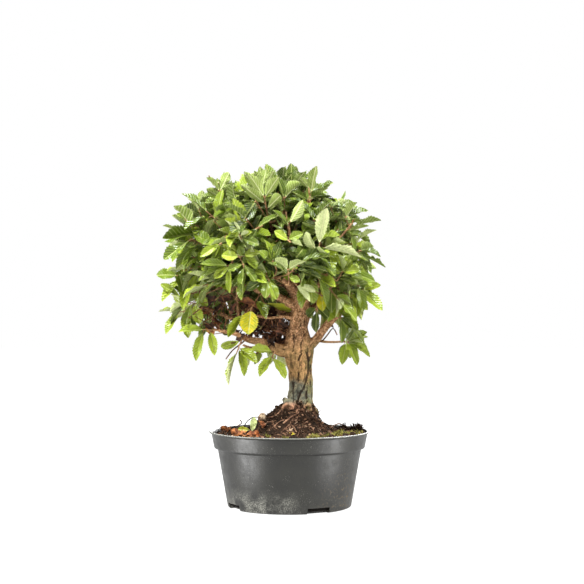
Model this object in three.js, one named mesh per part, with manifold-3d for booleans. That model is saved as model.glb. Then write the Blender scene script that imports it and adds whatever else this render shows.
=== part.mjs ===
// A Japanese zelkova grown as a small round-headed bonsai, standing in a plastic training pot.
// Millimetres, +Z up, the origin at the middle of the pot's flat base. The viewer stands on the -Y side.
import * as THREE from "three";
import { mergeVertices } from "three/addons/utils/BufferGeometryUtils.js";
import Module from "manifold-3d";

const wasm = await Module();
wasm.setup();

// Driving dimensions
const GAP = 0.3; // clearance between separate pieces
const POT_TOP = 75;
const POT_RIM_R = 80;
const POT_BAND_R = 75.2; // under the rim band
const POT_WALL_TOP_R = 71.6; // where the wall meets the band
const POT_BASE_R = 61.6;
const POT_BAND_HEIGHT = 16.5;
const POT_WALL = 1.8;
const POT_FLOOR = 2.2;
const POT_SIDES = 36;
const SLOT_COUNT = 4;
const SLOT_WIDTH = 24;
const SLOT_HEIGHT = 5.8;
const SLOT_DEPTH = 14;
const SLOT_TURN_DEG = 27.5 - 90; // the first slot lies right of the front
const TRUNK_X = 10.5; // the trunk stands off the pot's middle
const TRUNK_ROOT_R = 13.2;
const TRUNK_FOOT_Z = 50;
const TRUNK_SIDES = 12;
const STOUT_LIMB_R = 5;
const SOIL_LEVEL = 72;
const MOUND_HEIGHT = 33;
const SOIL_RINGS = 7;
const SOIL_SIDES = 28;
const HOLE_SIDES = 24;
const CROWN = new THREE.Vector3(-17, 0, 245); // middle of the leafy head
const CROWN_HALF = new THREE.Vector3(104, 94, 88); // its half sizes, to the leaf tips
const SHOOT_FROM = 0.5; // where a leafy shoot starts and ends, as shares of the head's half size
const SHOOT_TO = 0.8;
const SHOOTS_ALL_ROUND = 50;
const LOWEST_SHOOT = -0.66; // as a share of the head's half height
const SHOOT_REACH_VARIES = 0.06;
const SHOOT_STRAY = 6; // how far a shoot's tip strays from its even place
const SHOOT_LIFT = 2;
const SHOOT_DROOP = 4; // under the widest part of the head
const WINDOW_TOP = 205; // leaves stay out of this front gap, where the limbs show
const WINDOW_HALF = 50;
const BLADE_THICK = 1.2; // at the rib, thinning to the saw-toothed edge
const LEAF_GUARD = 0.4; // free space kept between leaves of different shoots
const SHARED_ROOT = 1.2; // mm3 that two leaves of one shoot may share where they spring from it
const LEAF_FOLD = 0.28; // rise of each half, as a share of its width
const LEAF_CURL = 0.12; // drop of the tip, as a share of the length
const LEAF_SIZE = 30;
const PETIOLE = 3;
const FIRST_BUD_STOP = 9; // the leader bears twigs from its tenth stop up
const BUDS_BETWEEN_STOPS = 3;
const BUDS_TRIED = 24;
const TWIG_R = [1.5, 1.3, 0.95]; // at the limb, at the first leaf and at the tip
const TWIG_SIDES = 3;
const TWIG_BENDS_FROM = 14; // a shorter twig runs straight to its shoot
const TWIG_PAST = 0.9; // a shoot runs this far past the root of its last leaf
const FALLEN_LEAVES = [
  [-52, -30, 10, 17], // x, y, turn in degrees, length
  [-30, -50, 150, 15],
];
const FALLEN_TILT_DEG = 12;
const SEED_HUSK = [-27, -11];
const SEED_HUSK_R = 3.2;
const DROP_FROM = 112;
const FALL_STEP = 0.2;
const SEED = 20417;

const up = new THREE.Vector3(0, 0, 1);
const vec = (x, y, z) => new THREE.Vector3(x, y, z);
const radians = THREE.MathUtils.degToRad;

// A seeded draw from 0 to 1 that depends only on its keys.
function chance(...keys) {
  let h = SEED;
  for (const key of keys) {
    h = Math.imul(h ^ (key + 40503), 2246822507);
    h ^= h >>> 13;
    h = Math.imul(h, 3266489909);
    h ^= h >>> 16;
  }
  return (h >>> 0) / 4294967296;
}

// A seeded draw from -1 to 1.
const wander = (...keys) => 2 * chance(...keys) - 1;

// A closed geometry as a solid that can be cut and joined.
function solid(geometry) {
  const bare = geometry.clone();
  bare.deleteAttribute("normal");
  bare.deleteAttribute("uv");
  const merged = mergeVertices(bare, 1e-4);
  const mesh = new wasm.Mesh({
    numProp: 3,
    vertProperties: new Float32Array(merged.attributes.position.array),
    triVerts: new Uint32Array(merged.index.array),
  });
  return new wasm.Manifold(mesh);
}

// A solid as a named mesh.
function piece(name, made, colour, roughness) {
  const cut = made.getMesh();
  const positions = new Float32Array(cut.numVert * 3);
  for (let i = 0; i < cut.numVert; i++) {
    positions.set(cut.vertProperties.subarray(i * cut.numProp, i * cut.numProp + 3), i * 3);
  }
  const geometry = new THREE.BufferGeometry();
  geometry.setAttribute("position", new THREE.BufferAttribute(positions, 3));
  geometry.setIndex(new THREE.BufferAttribute(cut.triVerts, 1));
  geometry.computeVertexNormals();
  const material = new THREE.MeshStandardMaterial({ color: colour, roughness, metalness: 0 });
  const mesh = new THREE.Mesh(geometry, material);
  mesh.name = name;
  return mesh;
}

// A geometry from a list of points and a list of corner triples.
function faceted(points, faces) {
  const geometry = new THREE.BufferGeometry();
  geometry.setAttribute(
    "position",
    new THREE.Float32BufferAttribute(points.flatMap((p) => [p.x, p.y, p.z]), 3),
  );
  geometry.setIndex(faces.flat());
  return geometry;
}

// A closed tube through route points {at, r}. shape(angle, point) scales the radius round each ring.
function tube(route, sides, shape = () => 1) {
  const points = [];
  const faces = [];
  let side = null;
  route.forEach((stop, i) => {
    const before = route[Math.max(0, i - 1)].at;
    const after = route[Math.min(route.length - 1, i + 1)].at;
    const along = after.clone().sub(before).normalize();
    const guide = side ?? (Math.abs(along.z) < 0.9 ? up : vec(1, 0, 0));
    side = guide.clone().addScaledVector(along, -guide.dot(along)).normalize();
    const other = along.clone().cross(side);
    for (let k = 0; k < sides; k++) {
      const angle = (2 * Math.PI * k) / sides;
      const r = stop.r * shape(angle, stop.at);
      const ring = stop.at.clone();
      ring.addScaledVector(side, r * Math.cos(angle)).addScaledVector(other, r * Math.sin(angle));
      points.push(ring);
    }
  });
  for (let i = 0; i + 1 < route.length; i++) {
    for (let k = 0; k < sides; k++) {
      const a = i * sides + k;
      const b = i * sides + ((k + 1) % sides);
      faces.push([a, b, b + sides], [a, b + sides, a + sides]);
    }
  }
  const last = (route.length - 1) * sides;
  for (let k = 1; k + 1 < sides; k++) {
    faces.push([0, k + 1, k], [last, last + k, last + k + 1]);
  }
  return faceted(points, faces);
}

// The pot: one moulded shell with a flat floor, a banded rim and four drainage slots at its foot
function potSolid() {
  const bandFoot = POT_TOP - POT_BAND_HEIGHT;
  const outer = [
    [0, 0],
    [POT_BASE_R - 1.4, 0],
    [POT_BASE_R, 1.4],
    [POT_WALL_TOP_R, bandFoot - 0.8],
    [POT_BAND_R - 0.6, bandFoot],
    [POT_BAND_R, bandFoot + 0.8],
    [POT_RIM_R - 2.2, POT_TOP - 2.4],
    [POT_RIM_R, POT_TOP - 1],
    [POT_RIM_R - 0.5, POT_TOP],
  ];
  const inner = [
    [POT_RIM_R - 3.4, POT_TOP - 1.2],
    [POT_BAND_R - POT_WALL, bandFoot + 1.4],
    [POT_WALL_TOP_R - POT_WALL, bandFoot - 1.4],
    [POT_BASE_R - POT_WALL, POT_FLOOR],
    [0, POT_FLOOR],
  ];
  const profile = [...outer, ...inner].map(([r, z]) => new THREE.Vector2(r, z));
  let shell = solid(new THREE.LatheGeometry(profile, POT_SIDES).rotateX(Math.PI / 2));
  for (let i = 0; i < SLOT_COUNT; i++) {
    const turn = radians(SLOT_TURN_DEG + (360 / SLOT_COUNT) * i);
    const slot = new THREE.BoxGeometry(SLOT_DEPTH, SLOT_WIDTH, 2 * SLOT_HEIGHT);
    slot.translate(POT_BASE_R, 0, 0).rotateZ(turn);
    shell = shell.subtract(solid(slot));
  }
  return shell;
}

// Bark stands in ridges and furrows round the trunk. The buried foot stays plain.
function bark(angle, at) {
  const clear = THREE.MathUtils.smoothstep(at.z, 104, 122);
  return 1 + clear * (0.06 * Math.sin(3 * angle + at.z / 17) + 0.04 * Math.sin(5 * angle - at.z / 9));
}

// The woody routes: the two leaders, then the limbs, each a list of x, y, z and radius
const LEADER = [
  [10.5, 0, TRUNK_FOOT_Z, TRUNK_ROOT_R],
  [10.5, 0, 104, TRUNK_ROOT_R],
  [11.5, 0, 112, 12.2],
  [11.3, 0, 124, 12],
  [10.3, 0, 136, 12.2],
  [9.6, 0, 146, 13.8],
  [9, 0, 156, 15.4],
  [8.6, 0, 166, 13],
  [8.8, 0, 178, 10],
  [11, 0, 192, 9.8],
  [11, 0, 203, 9.4],
  [6.5, 0, 215, 7.8],
  [-2, 0, 226, 6.2],
  [-9, 0, 240, 5],
  [-14, 0, 258, 3.8],
  [-17, -2, 278, 2.8],
  [-18, -2, 298, 1.8],
];
const LIMBS = {
  second_leader: [
    [10, 1, 198, 5.6], [14, 4, 214, 5], [18, 6, 232, 4.2], [23, 8, 254, 3.2],
    [28, 8, 276, 2.4], [30, 7, 294, 1.7],
  ],
  left_low: [
    [2, -2, 154, 7], [-14, -6, 157, 5.6], [-27, -9, 163, 4.3], [-40, -11, 166, 3.4],
    [-54, -13, 172, 2.4], [-70, -15, 175, 1.7],
  ],
  left_stub: [
    [-24, -8, 161, 2], [-36, -16, 158, 1.5], [-46, -22, 161, 1.2],
  ],
  left_thin: [
    [4, -5, 187, 1.9], [-8, -9, 188.5, 1.6], [-21, -13, 187.5, 1.5], [-36, -17, 190, 1.3],
    [-50, -22, 187, 1.1],
  ],
  left_high: [
    [9, -3, 198, 5.4], [-2, -7, 203, 4.4], [-15, -12, 210, 3.8], [-28, -16, 213, 3.2],
    [-41, -20, 221, 2.7], [-56, -25, 225, 2.1], [-72, -30, 233, 1.6],
  ],
  left_far: [
    [4, 4, 172, 5], [-14, 14, 176, 4], [-36, 16, 186, 3.2], [-58, 10, 187, 2.6],
    [-76, 8, 194, 2], [-92, 2, 197, 1.5],
  ],
  left_back: [
    [5, 6, 186, 5], [-10, 24, 193, 4], [-30, 38, 196, 3.2], [-50, 50, 205, 2.4],
    [-66, 54, 212, 1.7],
  ],
  right_low: [
    [14, -2, 156, 6.4], [25, -4, 164, 4.8], [34, -5, 176, 4], [44, -6, 187, 3.7],
    [55, -7, 197, 3.1], [63, -8, 211, 2.3], [68, -8, 226, 1.6],
  ],
  right_twig: [
    [26, -4, 166, 1.8], [33, 0, 163.6, 1.5], [44, 1, 163, 1.3], [54, 1, 163.8, 1.1],
  ],
  right_back: [
    [12, 6, 190, 4.8], [24, 18, 197, 3.7], [40, 28, 208, 3], [57, 34, 216, 2.3],
    [70, 36, 228, 1.6],
  ],
  back_low: [
    [10, 7, 180, 4], [14, 28, 189, 3.2], [18, 48, 194, 2.4], [22, 64, 203, 1.6],
  ],
  back_high: [
    [7, 6, 206, 4.6], [2, 24, 213, 3.6], [-6, 42, 224, 2.8], [-12, 58, 232, 2.2],
    [-18, 70, 243, 1.6],
  ],
  front_right: [
    [13, -7, 203, 4.2], [22, -22, 211, 3.2], [30, -38, 222, 2.5], [40, -52, 231, 1.7],
  ],
  front_left: [
    [4, -6, 216, 4.2], [-6, -23, 226, 3.2], [-14, -40, 236, 2.5], [-26, -55, 244, 1.7],
  ],
  crown_left: [
    [-2, 0, 226, 4.4], [-19, 2, 237, 3.4], [-38, 3, 251, 2.7], [-56, 3, 262, 2],
    [-68, 2, 274, 1.5],
  ],
  crown_back: [
    [-12, 1, 252, 3.4], [-22, 18, 263, 2.8], [-32, 34, 275, 2.2], [-40, 46, 285, 1.6],
  ],
  crown_right: [
    [18, 6, 234, 3.6], [34, 4, 246, 2.8], [49, 1, 259, 2.1], [61, -2, 270, 1.5],
  ],
  crown_right_back: [
    [22, 8, 250, 3], [32, 24, 261, 2.4], [42, 38, 273, 1.6],
  ],
  crown_front: [
    [-13, -1, 258, 3.2], [-10, -18, 271, 2.6], [-8, -34, 283, 2], [-6, -46, 292, 1.5],
  ],
};
const stops = (list, spare = 0) => list.map(([x, y, z, r]) => ({ at: vec(x, y, z), r: r + spare }));

// The trunk with its leaders and limbs, grown as one. spare swells it, to keep twigs and leaves clear.
function woodSolid(spare = 0) {
  let wood = solid(tube(stops(LEADER, spare), TRUNK_SIDES, bark));
  for (const route of Object.values(LIMBS)) {
    const [[, , , rootR]] = route;
    wood = wood.add(solid(tube(stops(route, spare), rootR > STOUT_LIMB_R ? 6 : 5)));
  }
  return wood;
}

// Height of the soil at a point of the pot: a mound round the trunk, steep on its right, with crumbs.
function soilHeight(x, y) {
  const out = Math.hypot(x - TRUNK_X, y);
  const facing = out > 0 ? (x - TRUNK_X) / out : 0;
  const spread = 20.5 - 9.5 * facing;
  const past = Math.max(0, out - 9) / spread;
  const lean = 2.2 * (x / POT_RIM_R);
  const clods = 1.2 * Math.sin(0.27 * x + 0.19 * y) + Math.sin(0.41 * y - 0.23 * x);
  const crumbs = 0.8 * Math.sin(0.9 * x + 0.7 * y);
  return SOIL_LEVEL + lean + MOUND_HEIGHT * Math.exp(-(past ** 1.7)) + clods + crumbs;
}

// The soil: it fills the pot, rises in a mound and has a plain hole for the trunk's foot
function soilSolid() {
  const bandFoot = POT_TOP - POT_BAND_HEIGHT;
  const under = POT_FLOOR + GAP;
  const profile = [
    [0, under],
    [POT_BASE_R - POT_WALL - 2 * GAP, under],
    [POT_WALL_TOP_R - POT_WALL - 3 * GAP, bandFoot - 1.4],
    [POT_BAND_R - POT_WALL - 2 * GAP, bandFoot + 3],
  ];
  const edgeR = POT_BAND_R - POT_WALL + 0.7;
  for (let i = 0; i <= SOIL_RINGS; i++) {
    profile.push([edgeR * (1 - i / SOIL_RINGS), SOIL_LEVEL]);
  }
  const points = profile.map(([r, z]) => new THREE.Vector2(r, z));
  const body = new THREE.LatheGeometry(points, SOIL_SIDES).rotateX(Math.PI / 2);
  const position = body.attributes.position;
  for (let i = 0; i < position.count; i++) {
    if (Math.abs(position.getZ(i) - SOIL_LEVEL) < 1e-3) {
      position.setZ(i, soilHeight(position.getX(i), position.getY(i)));
    }
  }
  const holeR = (TRUNK_ROOT_R + GAP) / Math.cos(Math.PI / HOLE_SIDES);
  const holeDepth = SOIL_LEVEL + 2 * MOUND_HEIGHT - TRUNK_FOOT_Z;
  const hole = new THREE.CylinderGeometry(holeR, holeR, holeDepth, HOLE_SIDES).rotateX(Math.PI / 2);
  hole.translate(TRUNK_X, 0, TRUNK_FOOT_Z - GAP + holeDepth / 2);
  return solid(body).subtract(solid(hole));
}

// One leaf blade on its stalk, lying along +X with its upper side to +Z. Saw-toothed, folded along
// the rib and curling down to its tip. Each stop of the edge gives the share of the length and the
// share of the half width.
const LEAF_EDGE = [
  [0.28, 0.94],
  [0.37, 0.82],
  [0.6, 1.02],
  [0.68, 0.72],
];

function leafGeometry(length, width, spare = 0) {
  const points = [];
  const faces = [];
  const half = BLADE_THICK / 2 + spare;
  const grow = 1 + (2 * spare) / length;
  const put = (share, out, z) => {
    const y = (out * width * grow) / 2;
    const drop = LEAF_CURL * length * share * share;
    points.push(vec(PETIOLE + share * length * grow, y, LEAF_FOLD * Math.abs(y) - drop + z));
    return points.length - 1;
  };
  points.push(vec(0, 0, half / 2), vec(0, 0, -half / 2));
  const middle = [put(0.46, 0, half), put(0.46, 0, -half)];
  const tip = put(1, 0, 0);
  const left = LEAF_EDGE.map(([share, out]) => put(share, out, 0));
  const right = LEAF_EDGE.map(([share, out]) => put(share, -out, 0));
  const rim = [...left, tip, ...right.reverse()];
  for (let k = 0; k + 1 < rim.length; k++) {
    faces.push([middle[0], rim[k + 1], rim[k]], [middle[1], rim[k], rim[k + 1]]);
  }
  faces.push([middle[0], rim[0], 0], [middle[1], 1, rim[0]], [0, rim[0], 1]);
  faces.push([middle[0], 0, rim.at(-1)], [middle[1], rim.at(-1), 1], [1, rim.at(-1), 0]);
  return faceted(points, faces);
}

// The leaves that stand out at the front and round the edge of the head, set by hand. Each shoot
// runs from one point to another. A leaf gives its share of the shoot, its tip, its width and the
// way that its upper side looks.
const SHOOTS_BY_HAND = [
  {
    from: [-20, -52, 282],
    to: [-23.5, -66, 302],
    leaves: [
      [0.5, [-7, -78, 306], 12, [0.2, 0.9, 0.5]],
      [0.72, [-41, -76, 312], 12, [-0.1, 0.9, 0.4]],
      [1, [-37, -68, 325], 13, [0.4, 0.9, 0.1]],
      [1, [-11, -70, 323], 14, [-0.4, 0.9, 0.1]],
    ],
  },
  {
    from: [3, -60, 250],
    to: [-0.5, -78, 277],
    leaves: [
      [1, [14, -84, 299], 13, [0.5, 0.8, 0.1]],
      [0.85, [-13, -86, 291], 12, [0.2, -0.5, 0.9]],
    ],
  },
  {
    from: [25, -52, 243],
    to: [28, -72, 256],
    leaves: [
      [1, [34, -82, 293], 16, [-0.2, 0.95, 0.1]],
      [0.9, [69, -74, 250], 14, [0, 0.5, 0.9]],
      [0.6, [13, -82, 270], 12, [-0.6, 0.8, 0.2]],
      [0.3, [44, -70, 230], 13, [0.2, -0.7, 0.7]],
    ],
  },
  {
    from: [-30, -28, 209],
    to: [-37, -44, 197],
    leaves: [
      [1, [-40, -52, 173], 17, [-0.2, -0.95, 0.1]],
      [0.6, [-60, -50, 175], 12, [-0.2, -0.8, 0.6]],
      [0.3, [-22, -56, 190], 12, [0.2, -0.7, 0.6]],
    ],
  },
  {
    from: [-12, -52, 226],
    to: [-19, -66, 228],
    leaves: [
      [1, [-38, -80, 256], 11, [-0.7, 0.2, 0.6]],
      [1, [-14, -78, 205], 13, [0.6, -0.7, 0.3]],
      [0.6, [6, -78, 238], 14, [0.1, -0.5, 0.9]],
      [0.4, [-42, -72, 218], 13, [-0.2, -0.6, 0.8]],
    ],
  },
  {
    from: [60, -20, 213],
    to: [71, -24, 215],
    leaves: [
      [1, [89, -26, 221], 12, [0, -0.8, 0.6]],
      [0.85, [91, -34, 197], 15, [0.2, -0.8, 0.5]],
      [0.5, [66, -40, 191], 12, [0.2, -0.9, 0.2]],
    ],
  },
  {
    from: [-92, -4, 218],
    to: [-110, -10, 229],
    leaves: [
      [1, [-131, -14, 231], 15, [0, -0.8, 0.6]],
      [0.8, [-126, -22, 206], 10, [-0.5, -0.8, 0.3]],
      [0.45, [-104, -32, 198], 13, [-0.1, -0.9, 0.4]],
      [0.5, [-96, -26, 248], 13, [-0.3, -0.6, 0.7]],
    ],
  },
  {
    from: [-4, -10, 300],
    to: [2, -12, 320],
    leaves: [
      [1, [2, -14, 340], 12, [0.1, -0.95, 0.2]],
      [0.7, [22, -22, 331], 12, [0.2, -0.6, 0.8]],
      [0.6, [-20, -26, 330], 12, [-0.1, -0.6, 0.8]],
    ],
  },
  {
    from: [26, -24, 214],
    to: [31, -33, 215],
    leaves: [
      [1, [32, -38, 195], 9, [-0.3, -0.95, 0]],
      [0.7, [50, -46, 202], 12, [0.3, -0.8, 0.5]],
    ],
  },
  {
    from: [-47, -16, 166],
    to: [-51, -21, 156],
    leaves: [
      [1, [-63, -26, 123], 9, [-0.9, -0.4, 0.2]],
      [0.8, [-43, -30, 132], 11, [0.4, -0.8, 0.3]],
      [0.75, [-32, -34, 146], 12, [0.1, -0.8, 0.5]],
    ],
  },
  {
    from: [-15, -13, 154],
    to: [-17, -18, 149],
    leaves: [
      [1, [-3, -28, 130], 14, [0.2, -0.6, 0.8]],
      [0.6, [-30, -28, 132], 13, [-0.2, -0.8, 0.5]],
    ],
  },
  {
    from: [54.6, 1, 163.9],
    to: [60, 0, 163],
    leaves: [
      [0.45, [52, -9, 142], 12, [-0.1, -0.9, 0.2]],
      [0.7, [68, -10, 142], 11, [0.3, -0.9, 0.2]],
      [1, [81, -4, 150], 10, [0.2, -0.7, 0.7]],
      [0.6, [58, 8, 183], 11, [-0.3, -0.9, 0.3]],
      [0.9, [78, 2, 170], 10, [0, -0.6, 0.8]],
    ],
  },
  {
    from: [-97, -2, 196],
    to: [-109, -8, 193],
    leaves: [
      [1, [-123, -16, 173], 12, [-0.4, -0.8, 0.4]],
      [0.7, [-99, -24, 170], 13, [0.1, -0.9, 0.3]],
      [0.45, [-114, -24, 213], 12, [-0.3, -0.6, 0.7]],
      [0.9, [-130, -4, 196], 11, [-0.1, -0.3, 0.9]],
    ],
  },
  {
    from: [-71, -15.5, 175],
    to: [-84, -20, 176],
    leaves: [
      [1, [-93, -24, 146], 12, [-0.3, -0.9, 0.2]],
      [0.55, [-73, -28, 152], 11, [0.1, -0.9, 0.3]],
      [0.9, [-108, -28, 176], 12, [-0.1, -0.8, 0.6]],
    ],
  },
];

// Where the leafy shoots start and end: those set by hand, then others evenly round the head, apart
// from the open window at the front and underside where the limbs show.
function shootPlaces() {
  const places = SHOOTS_BY_HAND.map((shoot) => {
    return { from: vec(...shoot.from), to: vec(...shoot.to), leaves: shoot.leaves };
  });
  const golden = Math.PI * (3 - Math.sqrt(5));
  for (let i = 0; i < SHOOTS_ALL_ROUND; i++) {
    const rise = 1 - (2 * (i + 0.5)) / SHOOTS_ALL_ROUND;
    if (rise < LOWEST_SHOOT) break;
    const turn = golden * i + 0.35 * wander(i, 1);
    const flat = Math.sqrt(1 - rise * rise);
    const way = vec(flat * Math.cos(turn), flat * Math.sin(turn), rise);
    const reach = 1 + SHOOT_REACH_VARIES * wander(i, 2);
    const from = way.clone().multiply(CROWN_HALF).multiplyScalar(SHOOT_FROM * reach).add(CROWN);
    const to = way.clone().multiply(CROWN_HALF).multiplyScalar(SHOOT_TO * reach).add(CROWN);
    to.add(vec(wander(i, 3), wander(i, 4), wander(i, 5)).multiplyScalar(SHOOT_STRAY));
    to.z += rise < 0 ? -SHOOT_DROOP : SHOOT_LIFT;
    const inWindow = to.z < WINDOW_TOP && to.y < 0 && Math.abs(to.x) < WINDOW_HALF;
    if (!inWindow) places.push({ from, to, leaves: [] });
  }
  return places;
}

// Every point of the leaders' upper part and of the limbs that a twig can leave from
function budPoints() {
  const buds = [];
  for (const route of [LEADER.slice(FIRST_BUD_STOP), ...Object.values(LIMBS)]) {
    const parts = stops(route);
    for (let i = 0; i + 1 < parts.length; i++) {
      for (let k = i === 0 ? 1 : 0; k < BUDS_BETWEEN_STOPS; k++) {
        buds.push(parts[i].at.clone().lerp(parts[i + 1].at, k / BUDS_BETWEEN_STOPS));
      }
    }
    buds.push(parts.at(-1).at);
  }
  return buds;
}

// A twig that leaves a limb at a bud, bends to the shoot's start and runs on to its tip
function twigRoute(bud, place) {
  const way = place.to.clone().sub(place.from).normalize();
  const span = bud.distanceTo(place.from);
  const bend = new THREE.CubicBezierCurve3(
    bud,
    bud.clone().lerp(place.from, 0.35).addScaledVector(up, -0.04 * span),
    place.from.clone().addScaledVector(way, -0.35 * span),
    place.from,
  );
  const reach = span > TWIG_BENDS_FROM ? [0, 0.4, 0.75] : [0];
  const route = reach.map((share) => {
    return { at: bend.getPoint(share), r: THREE.MathUtils.lerp(TWIG_R[0], TWIG_R[1], share) };
  });
  const end = place.to.clone().addScaledVector(way, TWIG_PAST);
  route.push({ at: place.from, r: TWIG_R[1] }, { at: end, r: TWIG_R[2] });
  return route;
}

// A matrix that lays a leaf along one way with its upper side as near as can be to another
function leafMatrix(base, along, face) {
  const normal = face.clone().addScaledVector(along, -face.dot(along)).normalize();
  return new THREE.Matrix4().makeBasis(along, normal.clone().cross(along), normal).setPosition(base);
}

// The pose of a leaf that is set by hand
function shownLeafPose(place, [share, tip, width, face]) {
  const base = place.from.clone().lerp(place.to, share);
  const along = vec(...tip).sub(base);
  const length = along.length() - PETIOLE;
  return { matrix: leafMatrix(base, along.normalize(), vec(...face)), length, width };
}

// The pose of one leaf on its shoot. change picks one of the poses that the leaf may bend to.
const LEAF_PLACES = [0.1, 0.32, 0.52, 0.7, 0.88, 1];
const LEAF_SPLAY_DEG = [70, 66, 60, 54, 48, 14];
const LEAF_SHARES = [0.9, 1, 1.06, 1.04, 0.96, 0.94];
const CHANGES = 18;

function leafPose(place, shoot, k, change) {
  const way = place.to.clone().sub(place.from).normalize();
  const side = vec(way.y, -way.x, 0);
  if (side.length() < 0.2) side.set(1, 0, 0);
  side.normalize();
  const over = side.clone().cross(way).normalize();
  const swing = [0, 30, -30, 60, -60, 90][change % 6];
  const lift = [0, -16, 14][Math.floor(change / 6)];
  const turn = radians(152 * k + 60 * chance(shoot, 11) + 22 * wander(shoot, k, 12) + swing);
  const splay = radians(LEAF_SPLAY_DEG[k] + 9 * wander(shoot, k, 13) + lift);
  const along = way.clone().multiplyScalar(Math.cos(splay));
  along.addScaledVector(side, Math.sin(splay) * Math.cos(turn));
  along.addScaledVector(over, Math.sin(splay) * Math.sin(turn));
  along.addScaledVector(up, -0.12).normalize();
  const face = way.clone().multiplyScalar(0.45).addScaledVector(up, 0.6);
  face.add(vec(wander(shoot, k, 14), wander(shoot, k, 15), wander(shoot, k, 16)).multiplyScalar(0.4));
  const base = place.from.clone().lerp(place.to, LEAF_PLACES[k]);
  const length = LEAF_SIZE * LEAF_SHARES[k] * (1 + 0.16 * wander(shoot, k, 17)) - PETIOLE;
  const width = length * (0.5 + 0.05 * wander(shoot, k, 18));
  return { matrix: leafMatrix(base, along, face), length, width };
}

const boxesMeet = (a, b) => [0, 1, 2].every((i) => a.min[i] < b.max[i] && b.min[i] < a.max[i]);
const meets = (a, b) => boxesMeet(a.boundingBox(), b.boundingBox()) && !a.intersect(b).isEmpty();

const bonsai = new THREE.Group();
const pot = potSolid();
const soil = soilSolid();
const tree = woodSolid();
const treeRoom = woodSolid(GAP);
bonsai.add(piece("pot", pot, 0x3a3b3a, 0.45));
bonsai.add(piece("soil", soil, 0x35231a, 0.95));
bonsai.add(piece("tree", tree, 0x8a6a4e, 0.9));

// Twigs first, each from the nearest bud that leaves it clear of the others. Each stops short of
// its limb by the gap.
const places = shootPlaces();
const buds = budPoints();
const twigs = [];

function twigSolid(route, spare) {
  const swelled = route.map(({ at, r }) => ({ at, r: r + spare }));
  return solid(tube(swelled, TWIG_SIDES)).subtract(treeRoom);
}

places.forEach((place, i) => {
  const cost = (bud) => bud.distanceTo(place.from) + 0.5 * Math.max(0, bud.z - place.from.z);
  const near = [...buds].sort((a, b) => cost(a) - cost(b)).slice(0, BUDS_TRIED);
  twigs[i] = null;
  for (const bud of near) {
    const route = twigRoute(bud, place);
    const twig = twigSolid(route, 0);
    const room = twigSolid(route, 2 * GAP);
    if (twig.decompose().length === 1 && !twigs.some((other) => other && meets(room, other))) {
      twigs[i] = twig;
      break;
    }
  }
  if (!twigs[i]) console.log("no clear twig for shoot " + (i + 1));
});

// Then the leaves: those set by hand, and the others, each in the first pose that clears everything
// but its own twig. A leaf with no clear pose is left off.
const leaves = [];

function grow(shoot, { matrix, length, width }) {
  const room = solid(leafGeometry(length, width, LEAF_GUARD).applyMatrix4(matrix));
  const blocked =
    meets(room, treeRoom) ||
    meets(room, soil) ||
    twigs.some((other, j) => j !== shoot && other && meets(room, other)) ||
    leaves.some((other) => other.shoot !== shoot && meets(room, other.leaf));
  if (blocked) return false;
  const leaf = solid(leafGeometry(length, width).applyMatrix4(matrix));
  const crosses = (other) => other.shoot === shoot && leaf.intersect(other.leaf).volume() > SHARED_ROOT;
  if (leaves.some(crosses) || leaf.intersect(twigs[shoot]).isEmpty()) return false;
  leaves.push({ shoot, leaf });
  return true;
}

places.forEach((place, i) => {
  if (!twigs[i]) return;
  for (const shown of place.leaves) {
    if (!grow(i, shownLeafPose(place, shown))) console.log("a leaf of shoot " + (i + 1) + " is blocked");
  }
});
places.forEach((place, i) => {
  if (!twigs[i]) return;
  const wanted = place.leaves.length > 0 ? 1 : LEAF_PLACES.length;
  for (let k = 0; k < wanted; k++) {
    for (let change = 0; change < CHANGES; change++) {
      if (grow(i, leafPose(place, i, k, change))) break;
    }
  }
});

// What has fallen on the soil: dead leaves and a round seed, each let down until it all but touches
function settle(loose) {
  for (let fall = 0; fall < DROP_FROM - POT_BAND_HEIGHT; fall += FALL_STEP) {
    if (meets(loose.translate([0, 0, -fall - GAP]), soil)) return loose.translate([0, 0, -fall]);
  }
  return loose;
}

FALLEN_LEAVES.forEach(([x, y, turnDeg, length], i) => {
  const blade = leafGeometry(length, length * 0.6);
  blade.rotateX(radians(FALLEN_TILT_DEG)).rotateZ(radians(turnDeg)).translate(x, y, DROP_FROM);
  bonsai.add(piece("fallen_leaf_" + (i + 1), settle(solid(blade)), 0xa8662e, 0.8));
});
const seed = new THREE.IcosahedronGeometry(SEED_HUSK_R, 1);
seed.translate(...SEED_HUSK, DROP_FROM);
bonsai.add(piece("seed_husk", settle(solid(seed)), 0xc9a877, 0.7));

const LEAF_GREENS = [0x5f8f3a, 0x4b7d33, 0x7da04a];
places.forEach((_, i) => {
  if (!twigs[i]) return;
  const own = leaves.filter((leaf) => leaf.shoot === i);
  const spray = own.reduce((made, { leaf }) => made.add(leaf), twigs[i]);
  const name = "spray_" + String(i + 1).padStart(2, "0");
  bonsai.add(piece(name, spray, LEAF_GREENS[i % LEAF_GREENS.length], 0.55));
});
console.log(leaves.length + " leaves on " + twigs.filter(Boolean).length + " shoots");

export default bonsai;
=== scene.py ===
# %% [markdown]
# # A zelkova bonsai in its training pot
# A bonsai shows three very different things close together: a moulded pot, crumbly soil with an old
# trunk in it, and a head of small saw-toothed leaves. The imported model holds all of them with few
# faces. This lesson replaces each plain solid by a finer piece that keeps its form, with a finish
# made of nodes.

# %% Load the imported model
from math import copysign, cos, exp, hypot, pi, radians, sin, sqrt

import bmesh
import bpy
import numpy as np
from mathutils import Matrix, Vector, kdtree, noise
from numpy.linalg import norm


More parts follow.
